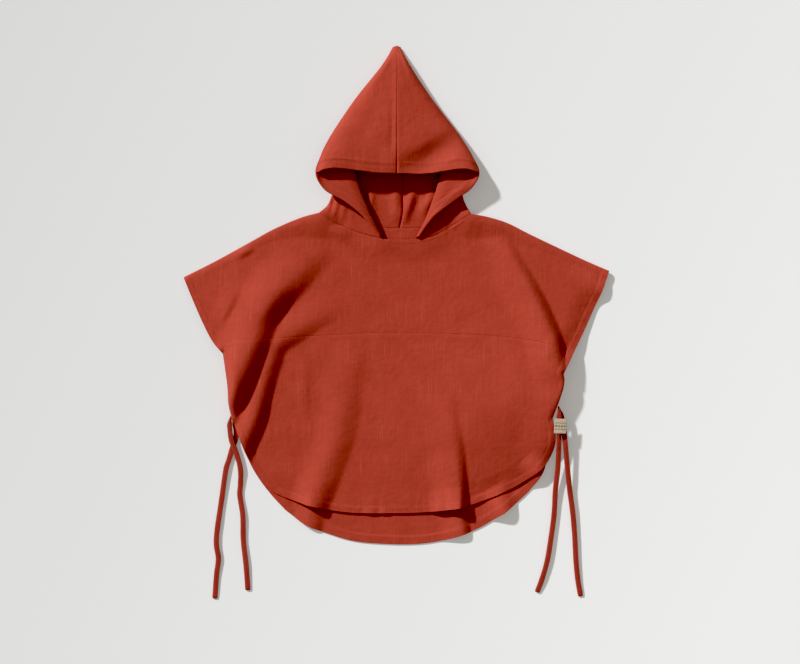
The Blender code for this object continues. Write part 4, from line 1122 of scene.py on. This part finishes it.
# %% Back
top, corners = shoulders(plan_of(BACK_NECK))
left = np.vstack([BACK_SLEEVE_EDGES[0], plan_of(SIDE_LEFT)[1:], plan_of(BACK_HEM_LEFT)[1:]])
right = np.vstack([BACK_SLEEVE_EDGES[1], plan_of(SIDE_RIGHT)[1:], plan_of(BACK_HEM_RIGHT)[1:]])
hem = plan_of(BACK_HEM)
plan = patch(top, hem, left, right,
             (three_runs(top, corners, BACK_COLUMNS), three_runs(hem, (0.3, 0.7), BACK_COLUMNS)),
             run(left, 0, 1, BACK_ROWS, EDGE_RUN, EDGE_RUN))
back = panel("back", plan, back_surface, -1, 1, [BACK_EDGE, *BACK_SLEEVE_EDGES])

# %% [markdown]
# ## The hood
# The hood is two mirror halves, joined by one seam from the point down the front and the back.
# Worn, it is a pointed cap; laid down, it collapses into a lid over a hollow, with the free edge
# across the face.  Below the corners of that edge the cloth turns over, as a lapel does, and ends
# in the neck seam.  Each half is made as rows of a few points through all its layers, from the
# centre front round the outer fold to the centre back, with smooth curves between them.

# %% Sections of the hood
# "front" starts a section, on the centre seam or on the free edge; "side" is the outer fold, with
# its middle height and how far its layers stand apart; "roll" is where the cloth turns under,
# "tuck" the fold below it, "back" the centre seam behind, and "turn" how far the roll has formed.
Row = namedtuple("Row", "front side part roll tuck back turn")
LID_LEFT = [
    Row((1.5, 373, 5), (-5, 371, 3), 2.4, (-4, 370, 1.6), (-3, 370), (1.5, 370), 0),
    Row((1.5, 352, 16), (-16, 350, 11), 9, (-12, 349, 5), (-8, 349), (2, 349), 0),
    Row((1.5, 300, 25), (-57, 297, 14), 12, (-44, 297, 7), (-30, 297), (4, 297), 0),
    Row((1.5, 240, 30), (-97, 237, 18), 13, (-62, 236, 13), (-54, 236), (7, 236), 1),
    Row((1.5, 205, 30.5), (-112, 207, 24), 13, (-61, 206, 15), (-73, 206), (8.5, 205), 1),
    Row((1.5, 182, 28), (-120, 180, 27), 14, (-61, 185, 18), (-88, 182), (10, 182), 1),
]
LAPEL_LEFT = [
    Row(None, (-108, 158, 22), 0, (-57, 166, 19), (-93, 164), (10.5, 166), 1),
    Row(None, (-77, 139, 21), 0, (-50, 146, 19), (-97, 147), (10.5, 146), 1),
    Row(None, (-53, 120, 19), 0, (-40, 124, 18), (-103, 134), (10.5, 124), 1),
    Row(None, (-25, 88, 12.5), 0, (-22, 88.5, 12), (-115, 123.5), (6, 101.5), 1),
]
LID_RIGHT = [
    Row((1.5, 373, 5), (7, 371, 3), 2.4, (6, 370, 1.6), (4, 370), (1.5, 370), 0),
    Row((1.5, 352, 16), (17, 350, 13), 9, (14, 349, 5), (9, 349), (2, 349), 0),
    Row((1.5, 300, 25), (51, 297, 14), 12, (44, 297, 7), (32, 297), (4, 297), 0),
    Row((1.5, 240, 30), (96, 237, 17), 13, (70, 236, 13), (62, 236), (7, 236), 1),
    Row((1.5, 205, 30.5), (114, 207, 22), 13, (68, 206, 15), (80, 206), (8.5, 205), 1),
    Row((1.5, 182, 28), (124, 180, 28), 14, (67, 182, 18), (96, 180), (10, 182), 1),
]
LAPEL_RIGHT = [
    Row(None, (113, 159, 22), 0, (61, 158, 19), (99, 160), (10.5, 160), 1),
    Row(None, (88, 141, 21), 0, (55, 140, 18), (101, 144), (10.5, 142), 1),
    Row(None, (57, 117, 19.5), 0, (45, 114, 16), (106, 132), (10.5, 122), 1),
    Row(None, (34, 87, 12.5), 0, (30.5, 86, 12), (112, 122), (6, 101.5), 1),
]
HOOD_BACK_FOLDS = [
    Fold("nape ridge", 9, 10, [(27, 164, 0), (22, 146, 5.5), (14, 120, 4.5), (11, 106, 0)]),
    Fold("nape step", 16, 5, [(1, 168, 0), (2, 150, 4.2), (3.5, 126, 4.2), (4, 108, 0.8)]),
    Fold("nape far left", 9, 8, [(-38, 165, 0), (-38, 140, 4), (-36, 116, 0)]),
    Fold("nape right", 12, 12, [(58, 160, 0), (48, 138, 5), (36, 116, 0)]),
]
HOOD_LID_FOLDS = [
    Fold("right dent", 24, 26, [(96, 234, 0), (76, 222, -5), (44, 202, -6.5), (18, 191, -4), (6, 186, -1)]),
    Fold("beside the seam", 6, 6, [(-6, 300, 0), (-6, 240, -1.2), (-6, 200, 0)]),
]
# The edge round the face droops in its middle: x, and how far the edge lies up from a straight line.
FACE_EDGE = [(-120, 0), (-106, 5), (-92, 6.5), (-74, 5), (-52, 2), (-32, -1), (0, -2.5), (34, -2.5),
             (54, -1), (74, 2), (92, 5), (106, 5.5), (124, 0)]
FACE_REACH = (212, 182)  # the droop starts at the first y and is whole at the second
HOOD_COLLAR_FOLDS = [
    Fold("collar crease 1", 4, 4, [(-99, 156, 0), (-103, 142, -2.2), (-109, 128, 0)]),
    Fold("collar crease 2", 4, 4, [(-91, 150, 0), (-94, 138, -2.4), (-99, 120, -1)]),
    Fold("collar crease 3", 5, 4, [(-82, 144, 0), (-84, 128, -2.2), (-86, 112, -1)]),
    Fold("collar crease 4", 4, 5, [(-72, 136, 0), (-72, 120, -2), (-72, 106, -0.8)]),
    Fold("collar crease 5", 4, 4, [(96, 150, 0), (94, 138, -1.8), (92, 118, -0.8)]),
    Fold("collar crease 6", 5, 4, [(80, 136, 0), (78, 120, -1.8), (76, 104, -0.8)]),
]
print(len(LID_LEFT) + len(LAPEL_LEFT), "sections in each half")

# %% Waypoints of a section
FOLD_REACH = 9.0  # how far in from the side fold its two layers are level
ROLL_REACH = 8.0  # the same at the roll and the tuck
ROLL_SHARE = 0.42  # of the roll's height, between its two layers
TUCK_SHARE = 0.45  # of the roll's height, the height of the tuck, which lies on the surface
LID_DOME = 0.16  # share of the lid's rise by which it bulges between its middle and its side


def toward(start, end, distance):
    """The point at a plan distance from the start, at the start's height."""
    way = np.array(end[:2], float) - np.array(start[:2], float)
    way /= max(np.hypot(*way), 1e-6)
    return np.array([start[0] + distance * way[0], start[1] + distance * way[1], start[2]])


def lower_waypoints(row, hand):
    """Waypoints of a section from the side fold to the centre back seam, along the outer side."""
    side = np.array(row.side, float)
    roll = np.array(row.roll, float)
    behind = np.array([row.back[0] + hand * CROWN_GAP / 2, row.back[1], 0.0])
    tuck_height = TUCK_SHARE * roll[2]
    tuck = np.array([*row.tuck, tuck_height / 2])
    roll_depth = np.array([0, 0, ROLL_SHARE * roll[2]])
    reach = min(FOLD_REACH, 0.3 * abs(side[0] - behind[0]), 0.3 * np.hypot(*(side - roll)[:2]))
    below = toward(side, roll, reach) - [0, 0, row.part / 2]
    lapel_reach = min(ROLL_REACH, 0.45 * np.hypot(*(side - roll)[:2]))
    under_reach = min(ROLL_REACH, 0.4 * np.hypot(*(tuck - roll)[:2]))
    roll_in = toward(roll, side, lapel_reach)
    turned = [
        side,
        below,
        (below + roll_in) / 2,
        roll_in,
        roll - roll_depth / 2,
        toward(roll, tuck, under_reach) - roll_depth,
        toward(tuck, roll, under_reach) + [0, 0, tuck_height / 2],
        tuck,
        toward(tuck, behind, ROLL_REACH) - [0, 0, tuck_height / 2],
        (2 * toward(tuck, behind, ROLL_REACH) + behind) / 3 * [1, 1, 0],
        behind,
    ]
    flat = [side, below]
    for step in range(1, 9):
        share = step / 9
        point = below + (behind - below) * share
        point[2] = below[2] * (1 - ease(share * 1.25))
        flat.append(point)
    flat.append(behind)
    return (1 - row.turn) * np.array(flat) + row.turn * np.array(turned)


def lid_waypoints(row, hand):
    """Waypoints of a section from the centre front seam to the side fold."""
    front = np.array(row.front, float) + [hand * CROWN_GAP / 2, 0, 0]
    side = np.array(row.side, float)
    reach = min(FOLD_REACH, 0.3 * abs(side[0] - front[0]))
    above = toward(side, front, reach) + [0, 0, row.part / 2]
    middle = (front + above) / 2 + [0, 0, LID_DOME * (front[2] - above[2])]
    return np.array([front, middle, above, side])


def droop(lid):
    """How far the points of the lid move up or down the plan with the edge round the face."""
    x, up = np.array(FACE_EDGE, float).T
    share = ease((FACE_REACH[0] - lid[..., 1]) / (FACE_REACH[0] - FACE_REACH[1]))
    return share * np.interp(lid[..., 0], x, up)


def through(net, steps, axis):
    """A net of points made finer along one axis, on smooth curves through the given ones."""
    net = np.moveaxis(net, axis, 0)
    padded = np.concatenate([[2 * net[0] - net[1]], net, [2 * net[-1] - net[-2]]])
    runs = []
    for before, start, end, after, count in zip(padded, padded[1:], padded[2:], padded[3:], steps):
        t = np.linspace(0, 1, count, endpoint=False).reshape((-1,) + (1,) * start.ndim)
        near = np.linalg.norm(end - start, axis=-1, keepdims=True) + 1e-6
        before_length = np.linalg.norm(start - before, axis=-1, keepdims=True) + 1e-6
        after_length = np.linalg.norm(after - end, axis=-1, keepdims=True) + 1e-6
        leave = near * ((start - before) / before_length + (end - start) / near) / 2
        arrive = near * ((end - start) / near + (after - end) / after_length) / 2
        runs.append(cubic(t, start, end, leave, arrive))
    return np.moveaxis(np.concatenate(runs + [net[-1:]]), 0, axis)


# %% [markdown]
# ### From sections to cloth
# The lowest row is the neck seam, so it takes its heights from the two body panels, and the rows
# above bend to meet it.  A layer that was turned over shows its inner side, and with it the inside
# of its hem, a band that stands a little proud.

# %% Half a hood
LID_STEPS = (18, 18, 8)
LOWER_STEPS = (8, 6, 8, 6, 6, 16, 6, 6, 10, 15)
LID_ROWS = (8, 20, 24, 16, 12)
LAPEL_ROWS = (12, 16, 14, 18)
LID_COLUMNS = sum(LID_STEPS)
LID_COUNT = sum(LID_ROWS) + 1  # rows of points in the lid
ROLL_COLUMN = sum(LOWER_STEPS[:4])
TUCK_COLUMN = sum(LOWER_STEPS[:7])
FLOOR_COLUMN = sum(LOWER_STEPS[:8])
BEND_ROWS = (0, 3, 6, 9, 13)  # how the sections of the lapel share the bend to the neck seam
BEND_FROM = 8.0


def neck_shares(line, start, end, steps):
    """Shares of a neckline from one share to another, in three runs; the outer runs are short."""
    near = ROLL_REACH / length_of(line) * np.sign(end - start)
    stops = [start, start + near, end - near, end] if len(steps) == 3 else [start, start + near, end]
    return spread(list(zip(stops, list(steps) + [0])))


def neck_row(last, lapel_rows, hand):
    """The lowest row of a half, moved onto the neck seam."""
    front = plan_of(FRONT_NECK)[::-hand]
    nape = plan_of(BACK_NECK)[::-hand]
    start = share_of(front, lapel_rows[-1].roll[:2])
    centre = share_of(nape, lapel_rows[-1].back)
    columns = np.arange(len(last))
    last = last.copy()
    last[ROLL_COLUMN:TUCK_COLUMN + 1, :2] = at_share(front, neck_shares(front, start, 0, LOWER_STEPS[4:7]))
    behind = neck_shares(nape, 0, centre, (LOWER_STEPS[7], LOWER_STEPS[8] + LOWER_STEPS[9]))
    last[TUCK_COLUMN:, :2] = at_share(nape, behind)
    x, y = last[:, 0], last[:, 1]
    in_front = (columns >= ROLL_COLUMN) & (columns <= TUCK_COLUMN)
    last[:, 2] = np.where(in_front, front_top(x, y), last[:, 2])
    last[:, 2] = np.where(columns > TUCK_COLUMN, back_under(x, y), last[:, 2])
    last[ROLL_COLUMN:, 1] += NECK_SEAM_GAP
    last[-1, 0] += hand * CROWN_GAP / 2
    return last


def corner_normals(points, faces):
    """Unit normals of a mesh's points."""
    a, b, c, d = (points[faces[:, k]] for k in range(4))
    across = np.cross(c - a, d - b)
    normals = np.zeros_like(points)
    for k in range(4):
        np.add.at(normals, faces[:, k], across)
    return normals / np.maximum(np.linalg.norm(normals, axis=1, keepdims=True), 1e-9)


def hood_points(lid_rows, lapel_rows, hand):
    """The lid's grid and the grid of everything below the side fold."""
    lid = np.array([lid_waypoints(row, hand) for row in lid_rows])
    lid = through(through(lid, LID_ROWS, 0), LID_STEPS, 1)
    lower = np.array([lower_waypoints(row, hand) for row in lid_rows + lapel_rows])
    lower = through(through(lower, LID_ROWS + LAPEL_ROWS, 0), LOWER_STEPS, 1)
    lid[..., 2] += folded(HOOD_LID_FOLDS, lid[..., 0], lid[..., 1])
    lid[..., 1] += droop(lid)
    floor = lower[:, FLOOR_COLUMN:]
    floor[..., 2] += folded(HOOD_BACK_FOLDS, floor[..., 0], floor[..., 1])
    collar = lower[len(lid):, ROLL_COLUMN + 4:TUCK_COLUMN]
    collar[..., 2] += folded(HOOD_COLLAR_FOLDS, collar[..., 0], collar[..., 1])
    section_rows = np.cumsum((len(lid) - 1, *LAPEL_ROWS))
    bend = ease((np.interp(np.arange(len(lower)), section_rows, BEND_ROWS) - BEND_FROM)
                / (BEND_ROWS[-1] - BEND_FROM))
    lower = lower + bend[:, None, None] * (neck_row(lower[-1], lapel_rows, hand) - lower[-1])
    lower[..., 2] = np.maximum(lower[..., 2], 0)
    return lid, lower


# %% One grid for half a hood
# The rows of the lid run from the centre front to the centre back.  Those below it start at the
# free edge of the lapel, so the grid has an unused corner, where it holds no numbers.
FAR_FROM_HEM = 99.0


def hood_grid(lid, lower):
    """One grid of a half's points, and the index of each point, which is -1 in the unused corner."""
    below, wide = len(lower) - LID_COUNT, LID_COLUMNS + lower.shape[1]
    index = np.full((len(lower), wide), -1)
    index[:LID_COUNT] = np.arange(LID_COUNT * wide).reshape(LID_COUNT, wide)
    first = LID_COUNT * wide
    index[LID_COUNT:, LID_COLUMNS:] = first + np.arange(below * lower.shape[1]).reshape(below, -1)
    grid = np.full((*index.shape, 3), np.nan)
    grid[:LID_COUNT, :LID_COLUMNS] = lid[:, :-1]
    grid[:, LID_COLUMNS:] = lower
    return grid, index


def hood_faces(index, hand):
    """Faces of the grid between points that are all in use, the outer side out on either half."""
    faces = np.stack([index[:-1, :-1], index[1:, :-1], index[1:, 1:], index[:-1, 1:]], axis=-1)
    faces = faces.reshape(-1, 4)
    faces = faces[(faces >= 0).all(axis=1)]
    return faces[:, ::hand]


def lengths_across(grid):
    """Length of the cloth from the start of the lid's rows to each point of the grid."""
    step = np.nan_to_num(np.linalg.norm(np.diff(grid, axis=1), axis=2))
    across = np.hstack([np.zeros((len(grid), 1)), np.cumsum(step, axis=1)])
    across[LID_COUNT:, LID_COLUMNS:] += across[LID_COUNT - 1, LID_COLUMNS]
    return across


def edge_lengths(grid, used):
    """Distance of each point of the lid and the lapel from the free edge; far for the others."""
    edge = np.vstack([grid[LID_COUNT - 1, :LID_COLUMNS], grid[LID_COUNT - 1:, LID_COLUMNS]])
    hem = np.full(used.shape, FAR_FROM_HEM)
    on_top = used.copy()
    on_top[:, LID_COLUMNS + ROLL_COLUMN:] = False
    hem[on_top] = np.linalg.norm(grid[on_top][:, None] - edge[None], axis=2).min(axis=1)
    return hem


# %% Relief of the hood
LID_STITCH_INSET = 12.5
LID_SEAT = 0.5  # how far the stitches pull the lid's hem in
LID_RIDGE = 0.6  # the fullness of the cloth above them
LID_RIDGE_AWAY = 3.0
LID_RIDGE_REACH = 2.2
CROWN_RIDGE = 0.22  # the seam allowances under the centre seam
CROWN_RIDGE_REACH = 7.0
HOOD_CRINKLE = 1.5  # times that of the body
STIFF = 0.8  # share of its crinkle that the cloth loses where it turns over
TURN_REACH = 7.0  # columns beside such a turn
SEAM_CALM = 7.0  # the crinkle grows over this distance from a centre seam
NECK_CALM = 9.0  # over so many rows from the neck seam
POINT_CALM = 14.0  # and from the point


def hood_lift(grid, used, across, hem, hand, seed):
    """How far crinkle, seats and the centre seam move each point of the grid out."""
    rows, wide = used.shape
    r, c = np.indices(used.shape)
    from_back = np.abs(grid[..., 0] - grid[:, -1:, 0])
    calm = ease(across / SEAM_CALM) * ease(from_back / SEAM_CALM)
    calm = calm * ease((rows - 1 - r) / NECK_CALM) * ease(r / POINT_CALM)
    calm = np.where(used, calm, 0)
    turning = (bell(c - LID_COLUMNS - ROLL_COLUMN, TURN_REACH)
               + bell(c - LID_COLUMNS - TUCK_COLUMN, TURN_REACH))
    calm = calm * (1 - STIFF * np.clip(turning * (r >= LID_COUNT), 0, 1))
    wave = calm * HOOD_CRINKLE * soft_crinkle(hand * across, np.nan_to_num(grid[..., 1]), seed)
    seat = LID_RIDGE * bell(hem - LID_STITCH_INSET - LID_RIDGE_AWAY, LID_RIDGE_REACH)
    seat = seat - LID_SEAT * bell(hem - LID_STITCH_INSET, SEAT_REACH)
    seam = CROWN_RIDGE * ease(across / 2.5) * bell(across, CROWN_RIDGE_REACH) * ease((LID_COUNT - r) / 3)
    return wave + (c < LID_COLUMNS) * (calm * seat + seam)


# %% Building half a hood
TIP_WALL = 0.7  # the point of the hood is pressed thin
TIP_ROWS = 4  # over these rows
LEAST_CLEAR = 0.3  # of the inner side above the table


def build_hood(name, lid_rows, lapel_rows, hand, seed):
    """Half a hood, and grids of its outer and inner points and its normals for the stitches."""
    grid, index = hood_grid(*hood_points(lid_rows, lapel_rows, hand))
    used = index >= 0
    points = grid[used]
    faces = hood_faces(index, hand)
    across = lengths_across(grid)
    hem = edge_lengths(grid, used)
    lift = hood_lift(grid, used, across, hem, hand, seed)[used][:, None]

    normals = corner_normals(points, faces)
    neck = index[-1, LID_COLUMNS + ROLL_COLUMN:]
    x, y = points[neck, 0], points[neck, 1] - NECK_SEAM_GAP
    front_count = TUCK_COLUMN - ROLL_COLUMN + 1
    normals[neck[:front_count]] = slope_normals(front_top, x, y, 1)[:front_count]
    normals[neck[front_count:]] = -slope_normals(back_under, x, y, -1)[front_count:]

    r, c = np.indices(used.shape)
    depth = np.where(r < TIP_ROWS, TIP_WALL + (WALL - TIP_WALL) * r / TIP_ROWS, WALL)
    band = in_hem(hem) * (c < LID_COLUMNS + ROLL_COLUMN - 2) * ease((len(grid) - 1 - r) / 12)
    depth = (depth + HEM_EXTRA * band)[used][:, None]
    outer = points + lift * normals
    outer[:, 2] = np.maximum(outer[:, 2], 0)
    inner = outer - depth * normals
    inner[:, 2] = np.maximum(inner[:, 2], LEAST_CLEAR)

    grain = np.stack([hand * across, grid[..., 1]], axis=-1)[used]
    on_edge = (hem < ON_HEM).astype(float)[used]
    made = closed_wall(f"{name}_cloth", outer, inner, grain, faces, on_edge, gauze, name)
    grids = np.full((3, *grid.shape), np.nan)
    grids[:, used] = outer, inner, normals
    return made, *grids


hood_left, *left_grids = build_hood("hood_left", LID_LEFT, LAPEL_LEFT, -1, 31)
hood_right, *right_grids = build_hood("hood_right", LID_RIGHT, LAPEL_RIGHT, 1, 41)
low, high = np.array(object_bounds())
print("visible so far", (high - low).round(3))

# %% [markdown]
# ## Stitches
# All hems are topstitched in a thread of the cloth's tone, painted a little lighter for the highlight that
# the stitches catch, eight stitches to 25 mm.
# Each stitch is a short rounded piece of thread whose ends dip into the cloth.  They are real
# geometry, made once as a small set of points and then repeated along each row.

# %% Stitch maker
STITCH_PITCH = 3.1
STITCH_LONG = 2.3
THREAD_RADIUS = 0.36
RING_PLACES = (-0.5, -0.36, 0.0, 0.36, 0.5)  # of a stitch's length
RING_SIZES = (0.45, 0.95, 1.0, 0.95, 0.45)
RING_LIFTS = (-0.9, 0.1, 0.45, 0.1, -0.9)  # of the thread's radius
RING_SIDES = 6


def stitch_frames(line, up, start=5.0, end=5.0):
    """Middle points, directions and up vectors of the stitches on a line of points."""
    total = length_of(line)
    count = int((total - start - end) / STITCH_PITCH)
    shares = (start + STITCH_PITCH * (np.arange(count) + 0.5)) / total
    places = at_share(line, shares)
    reach = 0.5 * STITCH_LONG / total
    ahead = unit(at_share(line, shares + reach) - at_share(line, shares - reach))
    top_way = read_off(shares, lengths_along(line) / total, up)
    top_way -= np.sum(top_way * ahead, axis=1, keepdims=True) * ahead
    return places, ahead, unit(top_way)


def sew(name, rows):
    """One mesh with all stitches of some rows."""
    places, ahead, up = (np.vstack(parts) for parts in zip(*rows))
    side = np.cross(ahead, up)
    angle = np.linspace(0, 2 * np.pi, RING_SIDES, endpoint=False)[:, None]
    circle = np.cos(angle) * side[:, None] + np.sin(angle) * up[:, None]
    rings = []
    for place, size, lift in zip(RING_PLACES, RING_SIZES, RING_LIFTS):
        middle = places + place * STITCH_LONG * ahead + lift * THREAD_RADIUS * up
        rings.append(middle[:, None] + size * THREAD_RADIUS * circle)
    points = np.stack(rings, axis=1).reshape(-1, 3)
    per = len(RING_PLACES) * RING_SIDES
    ends, quads = tube_faces(len(RING_PLACES), RING_SIDES)
    faces = [tuple(first + k for k in face)
             for first in range(0, len(points), per) for face in quads + ends]
    number = np.arange(len(points))
    around = (number % RING_SIDES) / RING_SIDES * 2 * THREAD_RADIUS
    onward = number // RING_SIDES % len(RING_PLACES) * 0.5 + number // per
    mesh = cloth_mesh(name, points, faces, np.stack([around, onward], axis=1))
    print(name, len(places), "stitches")
    return finish_piece(name, mesh, thread_cotton)


def row_on(height, line, inset, side_up=0.0):
    """Points and up vectors of a row on a height function, inside (to the left of) an edge line."""
    line = at_share(line, np.linspace(0, 1, 2 + int(length_of(line))))
    ahead = unit(np.gradient(line, axis=0))
    x, y = (line + inset * np.stack([-ahead[:, 1], ahead[:, 0]], axis=1)).T
    normals = slope_normals(height, x, y, 1)
    return np.stack([x, y, height(x, y)], axis=1) + side_up * normals, normals


def grid_row(grid, way, rows, columns, far, by_row):
    """Points at a distance from the free edge on lines of the hood's grid, and their ways up."""
    places, ups = [], []
    lines = [(r, columns) for r in rows] if by_row else [(rows, c) for c in columns]
    for r, c in lines:
        run = lengths_along(grid[r, c])
        places.append(read_off(far, run, grid[r, c]))
        ups.append(read_off(far, run, way[r, c]))
    return np.array(places), np.array(ups)


# %% Stitches of the body
body_rows = [
    stitch_frames(*row_on(front_surface, FRONT_EDGE, STITCH_INSET), 8, 8),
    stitch_frames(*row_on(front_surface, SLEEVE_EDGES[0], STITCH_INSET), 4, 10),
    stitch_frames(*row_on(front_surface, SLEEVE_EDGES[1][::-1], STITCH_INSET), 10, 4),
    stitch_frames(*row_on(front_surface, plan_of(FRONT_NECK)[::-1], NECK_STITCH_INSET), 12, 12),
]
front_stitches = sew("front_stitches", body_rows)
back_rows = [
    stitch_frames(*row_on(back_surface, BACK_EDGE, STITCH_INSET, WALL + 0.1), 8, 8),
    stitch_frames(*row_on(back_surface, plan_of(BACK_NECK)[::-1], NECK_STITCH_INSET, WALL), 14, 14),
]
back_stitches = sew("back_stitches", back_rows)

# %% Stitches of the hood
TWIN_APART = 2.8  # between the two rows along a lapel


def hood_rows(outer, inner, way):
    """Stitch rows of half a hood: one above the lid's free edge and two along the lapel."""
    upward = np.arange(LID_COUNT - 1, LID_COUNT - 16, -1)
    line, up = grid_row(outer, way, upward, range(0, LID_COLUMNS - 2), LID_STITCH_INSET, False)
    rows = [stitch_frames(line, up, 2, 3)]
    inward = np.arange(LID_COLUMNS, LID_COLUMNS + ROLL_COLUMN)
    for far, end in ((STITCH_INSET, 14), (STITCH_INSET + TWIN_APART, 26)):
        line, up = grid_row(inner, -way, range(LID_COUNT, len(outer) - 5), inward, far, True)
        rows.append(stitch_frames(line, up, 3, end))
    return rows


hood_stitches = sew("hood_stitches", hood_rows(*left_grids) + hood_rows(*right_grids))

# %% [markdown]
# ## Label
# A small woven label is caught in the right side seam, above the ties.  It is cream, with two
# narrow woven bars and a row of little diamonds between them, as any ribbon border may have.

# %% Label shape
LABEL_CENTRE = (244.5, -195.5, 24.4)
LABEL_SIZE = (18.5, 22.0)
LABEL_TURN = -0.05  # in radians
LABEL_DROP = 6.2  # from its seam side to its free side
LABEL_THICK = 0.8
LABEL_ROUND = 0.8  # how far its cut edges round
LABEL_CURL = 0.35  # its two sides curl down, most at its lower end
LABEL_ARCH = 0.3  # its middle stands higher than its two ends


def build_label():
    """A thin woven tab that slopes from the skirt down over the ties."""
    u, v = np.meshgrid(np.linspace(-0.5, 0.5, 25), np.linspace(0.5, -0.5, 29))
    c, s = np.cos(LABEL_TURN), np.sin(LABEL_TURN)
    turn = np.array([[c, -s], [s, c]])
    flat = np.stack([u * LABEL_SIZE[0], v * LABEL_SIZE[1]], axis=-1)
    place = flat @ turn.T + LABEL_CENTRE[:2]
    curl = LABEL_CURL * np.cos(2 * np.pi * u) * (0.4 - v) + LABEL_ARCH * np.cos(np.pi * v)
    height = LABEL_CENTRE[2] - LABEL_DROP * u + curl
    upper = np.concatenate([place, height[..., None]], axis=-1).reshape(-1, 3)
    bulge = np.full(len(upper), LABEL_ROUND)
    return closed_wall("label_cloth", upper, upper - [0, 0, LABEL_THICK], flat.reshape(-1, 2),
                       grid_faces(*u.shape), bulge, label_cotton, "label")


label = build_label()
